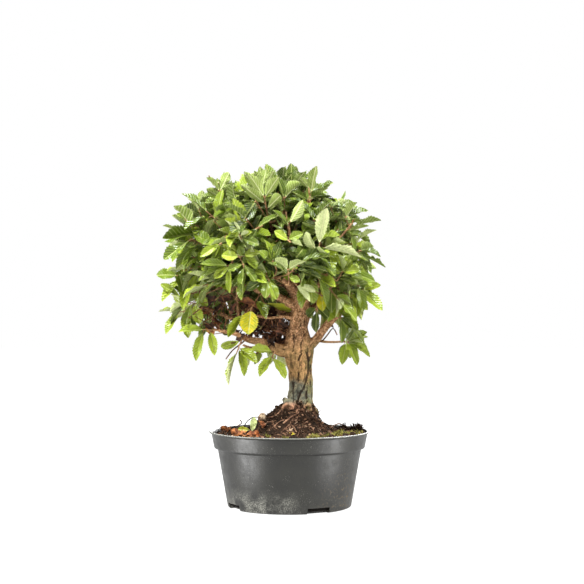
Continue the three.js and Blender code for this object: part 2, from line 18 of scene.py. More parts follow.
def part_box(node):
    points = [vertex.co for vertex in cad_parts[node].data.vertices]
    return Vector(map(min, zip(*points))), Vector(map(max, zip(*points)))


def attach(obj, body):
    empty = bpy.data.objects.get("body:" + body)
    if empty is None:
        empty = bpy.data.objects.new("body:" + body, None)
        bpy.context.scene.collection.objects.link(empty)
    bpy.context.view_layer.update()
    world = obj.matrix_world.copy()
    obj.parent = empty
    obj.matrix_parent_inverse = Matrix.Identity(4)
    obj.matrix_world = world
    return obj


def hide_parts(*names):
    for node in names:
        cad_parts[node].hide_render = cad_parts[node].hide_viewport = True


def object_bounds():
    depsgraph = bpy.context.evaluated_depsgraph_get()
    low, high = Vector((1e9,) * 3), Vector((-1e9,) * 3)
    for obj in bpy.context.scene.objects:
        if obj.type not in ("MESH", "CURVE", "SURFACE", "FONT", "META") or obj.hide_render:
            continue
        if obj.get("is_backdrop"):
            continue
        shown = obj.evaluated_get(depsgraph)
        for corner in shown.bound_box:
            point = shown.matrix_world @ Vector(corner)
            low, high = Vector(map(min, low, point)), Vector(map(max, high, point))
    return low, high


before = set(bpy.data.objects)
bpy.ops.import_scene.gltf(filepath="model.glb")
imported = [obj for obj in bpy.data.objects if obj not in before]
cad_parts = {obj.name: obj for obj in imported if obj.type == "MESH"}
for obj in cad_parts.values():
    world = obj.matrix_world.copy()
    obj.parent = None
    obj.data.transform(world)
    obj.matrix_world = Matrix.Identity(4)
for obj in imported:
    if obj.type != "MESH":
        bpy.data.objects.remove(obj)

cad_low, cad_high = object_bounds()
print("the packed model holds", len(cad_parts), "nodes")

# %% [markdown]
# ## The camera
# The pot's rim shows as a flat ellipse and its foot hardly curves, so the camera stood level with the
# middle of the tree, about a metre and a half away, with a long lens. The picture is square, so the
# lens alone sets how much it takes in.

# %% Set up the camera
MM = 0.001
CAMERA_AT = (2.5 * MM, -1436 * MM, 213 * MM)
LENS = 88.8

scene = bpy.context.scene
camera = bpy.data.objects.new("camera", bpy.data.cameras.new("camera"))
camera.data.lens = LENS
camera.location = CAMERA_AT
camera.rotation_euler = (radians(90), 0, 0)
scene.collection.objects.link(camera)
scene.camera = camera
print("the lens is", camera.data.lens, "mm long")

# %% [markdown]
# ## Nodes and sums
# Materials and Geometry Nodes are both trees of nodes. They could be wired by hand in the editor, but
# a script makes them the same on each run. One function adds a node and wires it up, and the others
# add the kinds that come up again and again.

# %% Add a node and reckon with it
class Bench:
    """What is being made: the tree of nodes, and in a material its shader."""
    tree = shader = None


def link(value, socket):
    Bench.tree.links.new(value, socket)


def node(kind, inputs=None, **settings):
    """Adds a node. An input that is given a socket is linked to it, any other is set."""
    made = Bench.tree.nodes.new(kind)
    for name, value in settings.items():
        setattr(made, name, value)
    for name, value in (inputs or {}).items():
        if isinstance(value, bpy.types.NodeSocket):
            link(value, made.inputs[name])
        else:
            made.inputs[name].default_value = value
    return made


def maths(operation, *values, clamp=False):
    """A Math node's result."""
    made = node("ShaderNodeMath", dict(enumerate(values)), operation=operation)
    made.use_clamp = clamp
    return made.outputs[0]


def times(*factors):
    product = factors[0]
    for factor in factors[1:]:
        product = maths("MULTIPLY", product, factor)
    return product


def plus(first, second, clamp=False):
    return maths("ADD", first, second, clamp=clamp)


def eased(value, low, high, to_low=0.0, to_high=1.0):
    """A value that eases from to_low to to_high while another goes from low to high."""
    inputs = {"Value": value, 1: low, 2: high, 3: to_low, 4: to_high}
    made = node("ShaderNodeMapRange", inputs, interpolation_type="SMOOTHSTEP")
    return made.outputs[0]


print("nodes can be added and reckoned with")

# %% [markdown]
# ## Colours
# A screen's numbers for a colour aren't linear, but light adds up linearly, so each colour is made
# linear first. A finish is then built as a painter would: a ground, and washes over it that a mask
# lets through.

# %% Mix colours
def mixed(share, first, second, blend="MIX"):
    made = node("ShaderNodeMix", {0: share, 6: first, 7: second}, data_type="RGBA")
    made.blend_type = blend
    return made.outputs[2]


def srgb(red, green, blue):
    """A colour given in the 0 to 255 of a screen, as the linear numbers that nodes work in."""
    parts = [v / 255 for v in (red, green, blue)]
    return [v / 12.92 if v <= 0.04045 else ((v + 0.055) / 1.055) ** 2.4 for v in parts] + [1]


def shades(value, *stops):
    """A colour ramp through (place, colour) stops."""
    made = node("ShaderNodeValToRGB", {"Fac": value})
    ramp = made.color_ramp
    while len(ramp.elements) < len(stops):
        ramp.elements.new(0.5)
    for element, (at, colour) in zip(ramp.elements, stops):
        element.position = at
        element.color = colour
    return made.outputs["Color"]


def washed(colour, mask, share, over):
    """A colour with another laid over it where the mask is 1, as thickly as the share says."""
    return mixed(times(mask, share), colour, srgb(*over))


def attribute(name):
    """The number that the mesh holds under this name."""
    return node("ShaderNodeAttribute", attribute_name=name).outputs["Fac"]


def place_on_piece():
    """The place on the piece, as the numbers X, Y and Z."""
    place = node("ShaderNodeTexCoord").outputs["Object"]
    return node("ShaderNodeSeparateXYZ", {0: place}).outputs


print("one half grey is", round(srgb(128, 128, 128)[0], 3), "in linear numbers")

# %% [markdown]
# ## Materials and groups
# Every finish starts from the Principled shader with its own roughness and shine. Relief too fine to
# model is a height that tilts the normal. An effect that several finishes need is a group of nodes,
# built once and placed in each.

# %% Start a material or a group
def new_material(name, roughness, specular):
    made = bpy.data.materials.new(name)
    made.use_nodes = True
    Bench.tree, Bench.shader = made.node_tree, made.node_tree.nodes["Principled BSDF"]
    Bench.shader.inputs["Roughness"].default_value = roughness
    Bench.shader.inputs["Specular IOR Level"].default_value = specular
    return made


def feed(name, value):
    link(value, Bench.shader.inputs[name])


def bump(height, distance, strength):
    """Tilts the shader's normal by a height."""
    inputs = {"Height": height, "Distance": distance, "Strength": strength}
    feed("Normal", node("ShaderNodeBump", inputs).outputs["Normal"])


def new_group(name, kind, outputs, **inputs):
    """Puts a new group on the bench, and returns it with its input and output nodes. An input is
    given as its usual value, or as the kind of thing that it takes."""
    made = Bench.tree = bpy.data.node_groups.new(name, kind + "NodeTree")
    kinds = {float: "Float", int: "Int", tuple: "Vector"}
    for label, value in inputs.items():
        item = made.interface.new_socket(label.replace("_", " "), in_out="INPUT",
                                         socket_type="NodeSocket" + kinds.get(type(value), value))
        if type(value) in kinds:
            item.default_value = value
    for label in outputs:
        socket = "NodeSocketGeometry" if kind == "Geometry" else "NodeSocketFloat"
        made.interface.new_socket(label, in_out="OUTPUT", socket_type=socket)
    return made, made.nodes.new("NodeGroupInput").outputs, made.nodes.new("NodeGroupOutput")


print("materials and groups can be started")

# %% [markdown]
# ## Meshes
# Each piece is a mesh whose object stands at the origin. What modifiers or a tree of nodes make is
# turned into a plain mesh at once, because copies that only a tree holds are lost when the model is
# handed on.

# %% Make meshes and place pieces
def shown(mesh, name, smooth=True):
    """Puts a mesh in the scene as an object at the origin."""
    made = bpy.data.objects.new(name, mesh)
    scene.collection.objects.link(made)
    mesh.name = name
    if smooth:
        mesh.shade_smooth()
    return made


def plain_mesh(name, points, faces=(), edges=()):
    """A mesh from points in millimetres."""
    made = bpy.data.meshes.new(name)
    made.from_pydata([tuple(c * MM for c in p) for p in points], list(edges), list(faces))
    return made


def note(mesh, name, kind, values, domain="POINT"):
    """Writes one value per point, edge or face under a name."""
    made = mesh.attributes.new(name, kind, domain)
    key = "vector" if kind in ("FLOAT_VECTOR", "FLOAT2") else "value"
    kinds = {"BOOLEAN": bool, "INT": np.int32}
    flat = np.array(values, dtype=kinds.get(kind, np.float32)).ravel()
    made.data.foreach_set(key, flat)


def evaluated_copy(holder):
    """The mesh that an object's modifiers make, as a plain mesh. The holder is removed."""
    graph = bpy.context.evaluated_depsgraph_get()
    made = bpy.data.meshes.new_from_object(holder.evaluated_get(graph), depsgraph=graph)
    holder.modifiers.clear()
    bpy.data.objects.remove(holder)
    return made


def run_tree(tree, mesh, **values):
    """Runs a Geometry Nodes tree on a mesh and returns the result as a plain mesh."""
    holder = bpy.data.objects.new("holder", mesh)
    scene.collection.objects.link(holder)
    modifier = holder.modifiers.new("tree", "NODES")
    modifier.node_group = tree
    for item in tree.interface.items_tree:
        if item.in_out == "INPUT" and item.name.replace(" ", "_") in values:
            modifier[item.identifier] = values[item.name.replace(" ", "_")]
    return evaluated_copy(holder)


def coat(piece, finish):
    piece.data.materials.clear()
    piece.data.materials.append(finish)


def finish_piece(piece, slot_name, *nodes):
    """Ties a piece to what it rides on and hides the nodes it stands for. slot_name, its finish, is not
    used.
    """
    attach(piece, "root")
    if nodes:
        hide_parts(*nodes)


def gathered(name, shapes):
    """Shapes that a tree of nodes can pick from."""
    made = bpy.data.collections.new(name)
    for shape in shapes:
        made.objects.link(shape)
    return made


def faces_of(mesh):
    return sum(len(p.vertices) - 2 for p in mesh.polygons)


# %% [markdown]
# ## Draws that never change
# Leaves stand a little irregularly. A draw that depends only on whole numbers, its keys, is better
# here than a running generator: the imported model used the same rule, so with the same keys each leaf
# is found again where the model has it.

# %% A seeded draw
SEED = 20417


def chance(*keys):
    """A draw from 0 to 1 that depends only on its keys."""
    h = SEED
    for key in keys:
        h = ((h ^ (key + 40503)) * 2246822507) & 0xFFFFFFFF
        h ^= h >> 13
        h = (h * 3266489909) & 0xFFFFFFFF
        h ^= h >> 16
    return h / 4294967296


def wander(*keys):
    """A draw from -1 to 1."""
    return 2 * chance(*keys) - 1


def vec(x, y, z):
    return np.array((x, y, z), float)


def stray(first, *keys):
    """A vector of three draws from -1 to 1. Their last key counts up from the first."""
    return vec(*(wander(*keys, first + axis) for axis in range(3)))


def unit(v):
    return v / norm(v)


def lerp(a, b, share):
    return a + (b - a) * share


def nearest(points, at):
    return int(np.argmin(norm(points - at, axis=1)))


UP = vec(0, 0, 1)
print("first draw:", round(chance(0, 1), 6))

# %% [markdown]
# ## Effects that several finishes share
# Almost every surface here is mottled: a slow change of colour over a few millimetres with a finer
# grain on top. One shader node group makes that, with its sizes as inputs. It reads Object
# coordinates, so the pattern stays put on the piece.

# %% The mottling group
mottle, given, result = new_group("mottle", "Shader", ["Mask", "Raw"], Scale=100.0, Detail=4.0,
                                  Stretch=(1.0, 1.0, 1.0), Low=0.3, High=0.7)
where = node("ShaderNodeTexCoord").outputs["Object"]
drawn = node("ShaderNodeVectorMath", {0: where, 1: given["Stretch"]}, operation="MULTIPLY")
cloud = node("ShaderNodeTexNoise", {
    "Vector": drawn.outputs[0], "Scale": given["Scale"], "Detail": given["Detail"]}).outputs[0]
mask = eased(cloud, given["Low"], given["High"])
link(mask, result.inputs["Mask"])
link(cloud, result.inputs["Raw"])


def mottled(scale, low=0.3, high=0.7, detail=4.0, stretch=(1, 1, 1), raw=False):
    """The mottling's mask, 0 under low and 1 over high, or its raw height."""
    made = node("ShaderNodeGroup", node_tree=mottle)
    for name, value in (("Scale", scale), ("Detail", detail), ("Low", low), ("High", high)):
        made.inputs[name].default_value = value
    made.inputs["Stretch"].default_value = stretch
    return made.outputs["Raw" if raw else "Mask"]


def two_tone(scale, low, high, first, second, detail=4.0):
    return mixed(mottled(scale, low, high, detail), srgb(*first), srgb(*second))


print("the mottling group has", len(mottle.nodes), "nodes")

# %% [markdown]
# ## The pot
# The pot is injection-moulded polypropylene: one thin wall with a deep band under the rim. It could
# be pulled out of a cylinder face by face. A profile turned round the axis is exact instead, and
# holds the outside, the rim and the inside in one closed line.

# %% Turn the pot's wall
POT_BASE_R = 61.6
POT_TURNS = 144
POT_PROFILE = [
    (0, 0), (30, 0), (59.4, 0), (60.2, 0.15), (61.1, 0.6), (61.6, 1.4), (64.2, 16), (66.9, 31.4),
    (69.4, 45.4), (71.4, 56.6), (71.7, 57.5), (72.4, 58), (74.0, 58.3), (74.7, 58.6), (75.1, 59.3),
    (75.4, 60.8), (76.4, 66), (77.5, 71.6), (77.9, 72.6), (79.3, 73.4), (79.8, 73.8), (80, 74.3),
    (79.8, 74.8), (79.3, 75), (78.4, 75), (77.6, 74.7), (76.9, 74), (76.3, 71), (74.8, 63.4),
    (73.9, 60.2), (73.2, 59.4), (70.6, 58.2), (69.9, 57.2), (67.5, 45), (64.5, 28), (61.6, 12),
    (60.1, 3.2), (59.2, 2.4), (30, 2.2), (0, 2.2),
]


def turned(profile, turns, shape=None):
    """A closed surface turned round Z from (radius, height) points. shape(radius, height, angle)
    may move a point. A radius of 0 closes the surface at its pole."""
    points, rings, faces = [], [], []
    for r, z in profile:
        angles = [0.0] if r == 0 else [2 * pi * k / turns for k in range(turns)]
        rings.append([len(points) + k for k in range(len(angles))])
        for angle in angles:
            at = shape(r, z, angle) if shape else (r, z)
            points.append((at[0] * cos(angle), at[0] * sin(angle), at[1]))
    for low, high in zip(rings, rings[1:]):
        for k in range(turns):
            a, b = low[k % len(low)], low[(k + 1) % len(low)]
            c, d = high[(k + 1) % len(high)], high[k % len(high)]
            faces.append([v for i, v in enumerate((a, b, c, d)) if v not in (a, b, c, d)[:i]])
    return points, faces


pot_holder = shown(plain_mesh("pot_wall", *turned(POT_PROFILE, POT_TURNS)), "pot_wall")
print("the pot's wall has", faces_of(pot_holder.data), "triangles")

# %% [markdown]
# ## The drainage slots
# Water leaves through four slots where the wall meets the base. In the mould a block of steel keeps
# the plastic out of each. A Boolean does the same here: it takes four boxes away from the wall.

# %% Cut the slots
SLOTS = 4
SLOT_TURN_DEG = -62.5
SLOT_SIZE = (0.014, 0.024, 0.0116)
SHARP_FROM_DEG = 38

cutter = bmesh.new()
for i in range(SLOTS):
    turn = Matrix.Rotation(radians(SLOT_TURN_DEG + 360 / SLOTS * i), 4, "Z")
    box = Matrix.Translation((POT_BASE_R * MM, 0, 0)) @ Matrix.Diagonal((*SLOT_SIZE, 1))
    bmesh.ops.create_cube(cutter, size=1, matrix=turn @ box)
slots_mesh = bpy.data.meshes.new("slots")
cutter.to_mesh(slots_mesh)
cutter.free()
slots = shown(slots_mesh, "slots", smooth=False)
cut = pot_holder.modifiers.new("slots", "BOOLEAN")
cut.object = slots
cut.operation = "DIFFERENCE"
cut.solver = "EXACT"
pot = shown(evaluated_copy(pot_holder), "pot_shell")
bpy.data.objects.remove(slots)
pot.data.set_sharp_from_angle(angle=radians(SHARP_FROM_DEG))
print("the pot has", faces_of(pot.data), "triangles")

# %% [markdown]
# ## The pot's finish
# The plastic is dark grey and half matt. Hard water has left a pale crust low on the wall, earth has
# splashed the right side brown, and fine dust sits all over. Each of these is a mask: where it is 1,
# it lays its own colour over the grey. Crust and earth also make it rougher.

# %% Finish the pot
pot_material = new_material("pot_plastic", 0.4, 0.5)
axes = place_on_piece()
colour = two_tone(45, 0.3, 0.75, (30, 29, 25), (38, 37, 31))

leftward = times(eased(axes["X"], -0.008, 0.014, 1, 0.1),
                 eased(axes["X"], -0.064, -0.05, 0.25, 1))
low_down = eased(axes["Z"], 0.004, 0.026, 1, 0)
grains = plus(times(mottled(900, 0.46, 0.6, 2), 0.75), 0.25)
crust = times(low_down, leftward, mottled(75, 0.36, 0.62, 6), grains)
colour = washed(colour, crust, 0.62, (176, 174, 162))

mud = times(eased(axes["X"], 0.02, 0.058, 0, 1), eased(axes["Z"], 0.0, 0.05, 1, 0.1),
            mottled(420, 0.55, 0.68, 3))
colour = washed(colour, mud, 0.65, (124, 108, 84))
dust = times(mottled(1300, 0.66, 0.74, 1), mottled(60, 0.4, 0.7))
colour = washed(colour, dust, 0.5, (168, 165, 156))
worn_lip = eased(axes["Z"], 0.0738, 0.0746, 0, 1)
feed("Base Color", washed(colour, worn_lip, 0.55, (132, 132, 122)))

rough = plus(times(mottled(120, 0.3, 0.7), 0.12), 0.36)
rough = plus(rough, times(maths("MAXIMUM", crust, mud), 0.4))
feed("Roughness", rough)
relief = plus(times(crust, 1.2), mottled(260, raw=True))
bump(relief, 0.00025, 0.5)
coat(pot, pot_material)
finish_piece(pot, "pot_plastic", "pot")
print("the pot's finish has", len(Bench.tree.nodes), "nodes")

# %% [markdown]
# ## The soil
# The soil was tipped out of a smaller pot with its roots, so it stands in a mound round the trunk and
# lies low at the rim. One turned surface gives its body, lifted by the model's own rule for the
# height and by noise for its clods. Loose crumbs, too many to place by hand, are strewn over it
# afterwards.

# %% Shape the soil's body
TRUNK_X = 10.5
POT_RIM_R = 80
SOIL_LEVEL = 72
MOUND_HEIGHT = 33
SOIL_EDGE_R = 74.1
SOIL_RINGS = 70
SOIL_TURNS = 168
SOIL_TILT = 2.2
MOUND_TOP_R = 9
MOUND_SPREAD = 20.5
MOUND_LEAN = 9.5
MOUND_FALL = 1.7


def soil_height(x, y):
    out = hypot(x - TRUNK_X, y)
    facing = (x - TRUNK_X) / out if out > 0 else 0
    past = max(0, out - MOUND_TOP_R) / (MOUND_SPREAD - MOUND_LEAN * facing)
    clods = 1.2 * sin(0.27 * x + 0.19 * y) + sin(0.41 * y - 0.23 * x)
    mound = MOUND_HEIGHT * exp(-(past ** MOUND_FALL))
    return SOIL_LEVEL + SOIL_TILT * x / POT_RIM_R + mound + clods


def soil_top(x, y):
    """The soil's height with its clods, pits and crumbs."""
    at = Vector((x, y, 0))
    inside = min(1, max(0, (SOIL_EDGE_R - hypot(x, y)) / 4))
    clods = 1.5 * noise.noise(at * 0.16) + 1.6 * noise.noise(at * 0.37)
    return soil_height(x, y) + inside * (clods + 1.5 * abs(noise.noise(at * 0.7)) - 0.5)


def soil_point(r, z, angle):
    if z != SOIL_LEVEL:
        return r, z
    return r, soil_top(r * cos(angle), r * sin(angle))


soil_profile = [(0, 2.5), (40, 2.5), (59.2, 2.6), (68.7, 56.8), (72.8, 61.5)]
soil_profile += [(SOIL_EDGE_R * (1 - i / SOIL_RINGS), SOIL_LEVEL) for i in range(SOIL_RINGS + 1)]
soil = shown(plain_mesh("soil_body", *turned(soil_profile, SOIL_TURNS, soil_point)), "soil_body")
print("the soil's body has", faces_of(soil.data), "triangles")

# %% [markdown]
# ## The soil's finish
# Bonsai soil here is peat and fine bark: nearly black where damp, red-brown where it has dried, with
# pale bits of wood in it. A grain's tint says which it is, and one ramp of colours turns that number
# into earth, which has no gloss.

# %% Finish the soil
soil_material = new_material("soil_earth", 0.95, 0.15)
dark = shades(attribute("tint"), (0.0, srgb(18, 12, 6)), (0.45, srgb(52, 35, 23)),
              (0.7, srgb(104, 74, 54)), (0.88, srgb(156, 118, 92)), (1.0, srgb(214, 186, 154)))
colour = washed(dark, mottled(700, 0.35, 0.65, 5), 0.5, (16, 11, 6))
colour = washed(colour, mottled(55, 0.35, 0.7), 0.2, (84, 60, 44))
# Low in the pot, where the soil shows through the drainage slots, it is painted nearly black: painted
# shade.
painted_shade_low = eased(place_on_piece()["Z"], 0.03, 0.062, 0.9, 0)
feed("Base Color", mixed(painted_shade_low, colour, srgb(10, 8, 6)))
bump(mottled(900, raw=True), 0.0008, 0.9)
coat(soil, soil_material)
note(soil.data, "tint", "FLOAT", [
    0.2 + 0.3 * noise.noise(Vector(v.co) * 350) for v in soil.data.vertices])
finish_piece(soil, "soil", "soil")
print("the soil's finish has", len(Bench.tree.nodes), "nodes")

# %% [markdown]
# ## The wood
# Trunk, leaders and limbs are one grown body. Each is a route of points with a radius, the same that
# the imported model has. Geometry Nodes draw a tube along every route, and a voxel remesh melts the
# tubes into one skin, so that limbs flow out of the trunk with no seam.

# %% The routes of trunk and limbs: x, y, z and radius
LEADER = [
    (10.5, 0, 50, 13.2), (10.5, 0, 104, 13.2), (11.5, 0, 112, 12.2), (11.3, 0, 124, 12),
    (10.3, 0, 136, 12.2), (9.6, 0, 146, 13.8), (9, 0, 156, 15.4), (8.6, 0, 166, 13),
    (8.8, 0, 178, 10), (11, 0, 192, 9.8), (11, 0, 203, 9.4), (6.5, 0, 215, 7.8),
    (-2, 0, 226, 6.2), (-9, 0, 240, 5), (-14, 0, 258, 3.8), (-17, -2, 278, 2.8),
    (-18, -2, 298, 1.8),
]
LIMBS = [
    # the second leader, then the limbs: left, right, back, front and the crown's
    [(10, 1, 198, 5.6), (14, 4, 214, 5), (18, 6, 232, 4.2), (23, 8, 254, 3.2), (28, 8, 276, 2.4),
     (30, 7, 294, 1.7)],
    [(2, -2, 154, 7), (-14, -6, 157, 5.6), (-27, -9, 163, 4.3), (-40, -11, 166, 3.4),
     (-54, -13, 172, 2.4), (-70, -15, 175, 1.7)],
    [(-24, -8, 161, 2), (-36, -16, 158, 1.5), (-46, -22, 161, 1.2)],
    [(4, -5, 187, 1.9), (-8, -9, 188.5, 1.6), (-21, -13, 187.5, 1.5), (-36, -17, 190, 1.3),
     (-50, -22, 187, 1.1)],
    [(9, -3, 198, 5.4), (-2, -7, 203, 4.4), (-15, -12, 210, 3.8), (-28, -16, 213, 3.2),
     (-41, -20, 221, 2.7), (-56, -25, 225, 2.1), (-72, -30, 233, 1.6)],
    [(4, 4, 172, 5), (-14, 14, 176, 4), (-36, 16, 186, 3.2), (-58, 10, 187, 2.6), (-76, 8, 194, 2),
     (-92, 2, 197, 1.5)],
    [(5, 6, 186, 5), (-10, 24, 193, 4), (-30, 38, 196, 3.2), (-50, 50, 205, 2.4), (-66, 54, 212, 1.7)],
    [(14, -2, 156, 6.4), (25, -4, 164, 4.8), (34, -5, 176, 4), (44, -6, 187, 3.7), (55, -7, 197, 3.1),
     (63, -8, 211, 2.3), (68, -8, 226, 1.6)],
    [(26, -4, 166, 1.8), (33, 0, 163.6, 1.5), (44, 1, 163, 1.3), (54, 1, 163.8, 1.1)],
    [(12, 6, 190, 4.8), (24, 18, 197, 3.7), (40, 28, 208, 3), (57, 34, 216, 2.3), (70, 36, 228, 1.6)],
    [(10, 7, 180, 4), (14, 28, 189, 3.2), (18, 48, 194, 2.4), (22, 64, 203, 1.6)],
    [(7, 6, 206, 4.6), (2, 24, 213, 3.6), (-6, 42, 224, 2.8), (-12, 58, 232, 2.2), (-18, 70, 243, 1.6)],
    [(13, -7, 203, 4.2), (22, -22, 211, 3.2), (30, -38, 222, 2.5), (40, -52, 231, 1.7)],
    [(4, -6, 216, 4.2), (-6, -23, 226, 3.2), (-14, -40, 236, 2.5), (-26, -55, 244, 1.7)],
    [(-2, 0, 226, 4.4), (-19, 2, 237, 3.4), (-38, 3, 251, 2.7), (-56, 3, 262, 2), (-68, 2, 274, 1.5)],
    [(-12, 1, 252, 3.4), (-22, 18, 263, 2.8), (-32, 34, 275, 2.2), (-40, 46, 285, 1.6)],
    [(18, 6, 234, 3.6), (34, 4, 246, 2.8), (49, 1, 259, 2.1), (61, -2, 270, 1.5)],
    [(22, 8, 250, 3), (32, 24, 261, 2.4), (42, 38, 273, 1.6)],
    [(-13, -1, 258, 3.2), (-10, -18, 271, 2.6), (-8, -34, 283, 2), (-6, -46, 292, 1.5)],
]
ROOTS = [
    [(9, -2, 108, 8), (1, -9, 101, 5.4), (-7, -13, 96, 3.2)],
    [(13, -3, 107, 7), (17, -10, 101, 4.8), (20, -15, 95, 2.8)],
    [(8, 2, 107, 7), (-3, 5, 100, 4.4), (-12, 6, 94, 2.8)],
    [(15, 2, 105, 6), (22, 1, 98, 3.8), (28, -1, 92, 2.4)],
    [(9, 5, 106, 7), (4, 14, 99, 4.6), (-1, 20, 93, 2.8)],
    [(14, 5, 105, 6), (19, 13, 98, 4), (23, 19, 91, 2.4)],
    [(10, -4, 104, 6), (9, -13, 98, 3.6), (7, -19, 93, 2.4)],
    # burrs: two at the root crown and the collar of the lowest limb
    [(4, -6, 103, 5), (0, -13, 101.5, 6), (-1.5, -18, 98, 6)],
    [(-4, -8, 105, 3), (-5, -12, 107, 2.6)],
    [(16, -7, 105, 5), (17.5, -13.5, 102, 5), (18, -17, 99, 4)],
    [(5, -4, 155, 8), (-4, -7, 154, 6.6), (-12, -8, 156, 5.6), (-19, -9, 159, 4.6)],
]


def smooth_route(stops, step=3.0):
    """A smooth line through the stops, as rows of x, y, z and radius about a step apart."""
    at = np.array(stops, float)
    ends = np.vstack([2 * at[0] - at[1], at, 2 * at[-1] - at[-2]])
    line = []
    for i in range(len(at) - 1):
        a, b, c, d = ends[i:i + 4]
        parts = max(2, round(norm(c[:3] - b[:3]) / step))
        for t in (k / parts for k in range(parts)):
            bend = (2 * a - 5 * b + 4 * c - d) * t ** 2 + (3 * b - a - 3 * c + d) * t ** 3
            line.append(b + 0.5 * ((c - a) * t + bend))
    line.append(at[-1])
    return np.array(line)


WOOD = [LEADER, *LIMBS, *ROOTS]
wood_routes = [smooth_route(route) for route in WOOD]
print(len(wood_routes), "routes,", sum(map(len, wood_routes)), "points")

# %% [markdown]
# ## Tubes along routes
# Trunk, limbs, twigs and roots all follow a route and thin as they go. A curve with a bevel could
# draw one of them. A tree of nodes draws any number at once, each point with its own radius, and
# serves again for dead twigs, bare roots and stalks.

# %% Build the tree of nodes that draws tubes
tube_tree, given, result = new_group("tubes_along_routes", "Geometry", ["Geometry"], Routes="Geometry",
                                     Sides=16, Thickness=1.0, Finish="Material")


def named(name, kind="FLOAT"):
    made = node("GeometryNodeInputNamedAttribute", {"Name": name}, data_type=kind)
    return made.outputs["Attribute"]


def tubes(routes, sides, thickness):
    """Tubes along the edges of a mesh. Each point's own radius is its number called thick."""
    line = node("GeometryNodeMeshToCurve", {"Mesh": routes}).outputs[0]
    ring = node("GeometryNodeCurvePrimitiveCircle", {"Resolution": sides, "Radius": 1.0})
    inputs = {"Curve": line, "Profile Curve": ring.outputs[0],
              "Scale": times(named("thick"), thickness), "Fill Caps": True}
    return node("GeometryNodeCurveToMesh", inputs).outputs[0]


def hand_out(geometry, finish, result):
    """Ends a tree of nodes: its copies are made real and get their finish."""
    whole = node("GeometryNodeRealizeInstances", {"Geometry": geometry}).outputs[0]
    coated = node("GeometryNodeSetMaterial", {"Geometry": whole, "Material": finish})
    link(coated.outputs[0], result.inputs["Geometry"])


drawn = tubes(given["Routes"], given["Sides"], given["Thickness"])
hand_out(drawn, given["Finish"], result)


def route_mesh(routes):
    """Routes as chains of edges, with their radii as the number called thick."""
    points = np.vstack(routes)
    edges, start = [], 0
    for route in routes:
        edges += [(start + k, start + k + 1) for k in range(len(route) - 1)]
        start += len(route)
    made = plain_mesh("routes", points[:, :3], edges=edges)
    note(made, "thick", "FLOAT", points[:, 3] * MM)
    return made


def tube_piece(name, slot_name, routes, sides, finish, thickness=1.0):
    """Puts tubes along routes in the scene as one piece."""
    mesh = run_tree(tube_tree, route_mesh(routes), Sides=sides, Thickness=thickness, Finish=finish)
    finish_piece(shown(mesh, name), slot_name)
    print(name, "has", faces_of(mesh), "triangles")


print("the tube tree has", len(tube_tree.nodes), "nodes")

# %% [markdown]
# ## One skin
# Where tubes cross they only stick through each other, but a limb grows out of its trunk. A voxel
# remesh keeps the outside of them all as one closed skin, and some smoothing rounds the forks into
# collars.

# %% Melt the tubes into one skin
VOXEL = 0.8 * MM
WOOD_SIDES = 18
SMOOTHINGS = 4

wood_tubes = run_tree(tube_tree, route_mesh(wood_routes), Sides=WOOD_SIDES, Thickness=1.0)
holder = shown(wood_tubes, "wood_holder")
remesh = holder.modifiers.new("melt", "REMESH")
remesh.mode = "VOXEL"
remesh.voxel_size = VOXEL
soften = holder.modifiers.new("soften", "SMOOTH")
soften.iterations = SMOOTHINGS
wood_mesh = evaluated_copy(holder)
print("the wood has", faces_of(wood_mesh), "triangles")

# %% [markdown]
# ## Bark
# Low on the trunk the bark is cracked into upright plates. Higher up it is grainy, and on young limbs
# nearly smooth. So each point of the skin looks up its route: how far along it lies and how thick the
# wood is there.

# %% Look up the route under each point
WEIGHT_OF_RADIUS = 0.8
STOPS_WEIGHED = 6


def finder_of(points):
    """Finds the points nearest to a place quickly."""
    made = kdtree.KDTree(len(points))
    for i, point in enumerate(points):
        made.insert(point, i)
    made.balance()
    return made


def read_vectors(mesh, key):
    flat = np.zeros(len(mesh.vertices) * 3, np.float32)
    mesh.vertices.foreach_get(key, flat)
    return flat.reshape(-1, 3)


fine_routes = [smooth_route(route, 1.5) for route in WOOD]
stops = np.vstack(fine_routes)
ways = np.vstack([np.gradient(route[:, :3], axis=0) for route in fine_routes])
ways /= norm(ways, axis=1)[:, None]
finder = finder_of(stops[:, :3])
skin, normals = read_vectors(wood_mesh, "co") / MM, read_vectors(wood_mesh, "normal")
under = []
for at in skin:
    near = finder.find_n(at, STOPS_WEIGHED)
    under.append(min((distance - WEIGHT_OF_RADIUS * stops[k][3], k) for _, k, distance in near)[1])
print(len(skin), "points of skin lie on", len(stops), "stops of the routes")

# %% [markdown]
# ## Cracks and grain
# The noise is read in a frame that is squeezed across the route and stretched along it, so that its
# cells come out long and upright. Where it passes through nought, a crack runs. Stout wood cracks
# deeply, thin wood is only a little lumpy.

# %% Carve the bark
def smoothstep(value, low, high):
    share = np.clip((value - low) / (high - low), 0, 1)
    return share * share * (3 - 2 * share)


depths = np.zeros(len(skin))
for i, (at, stop) in enumerate(zip(skin, under)):
    radius, way = stops[stop][3], ways[stop]
    along = float(np.dot(at, way))
    across = at - along * way
    drawn_out = Vector(across * 0.36 + way * along * 0.1)
    stout = smoothstep(radius, 3.5, 9)
    crack = 1 - min(1, abs(noise.noise(drawn_out)) * 5)
    fine_crack = 1 - min(1, abs(noise.noise(drawn_out * 2.3 + Vector((7, 3, 1)))) * 4)
    grain = noise.noise(Vector(at) * 0.55) + 0.6 * noise.noise(Vector(at) * 1.1)
    lumps = noise.noise(Vector(at) * 0.14)
    depth = stout * (1.3 * crack ** 2 + 0.5 * fine_crack ** 2) + (0.12 + 0.2 * stout) * (-grain)
    depths[i] = depth - (0.25 + 0.75 * stout) * lumps
print("the bark's depth runs from", round(depths.min(), 2), "to", round(depths.max(), 2), "mm")
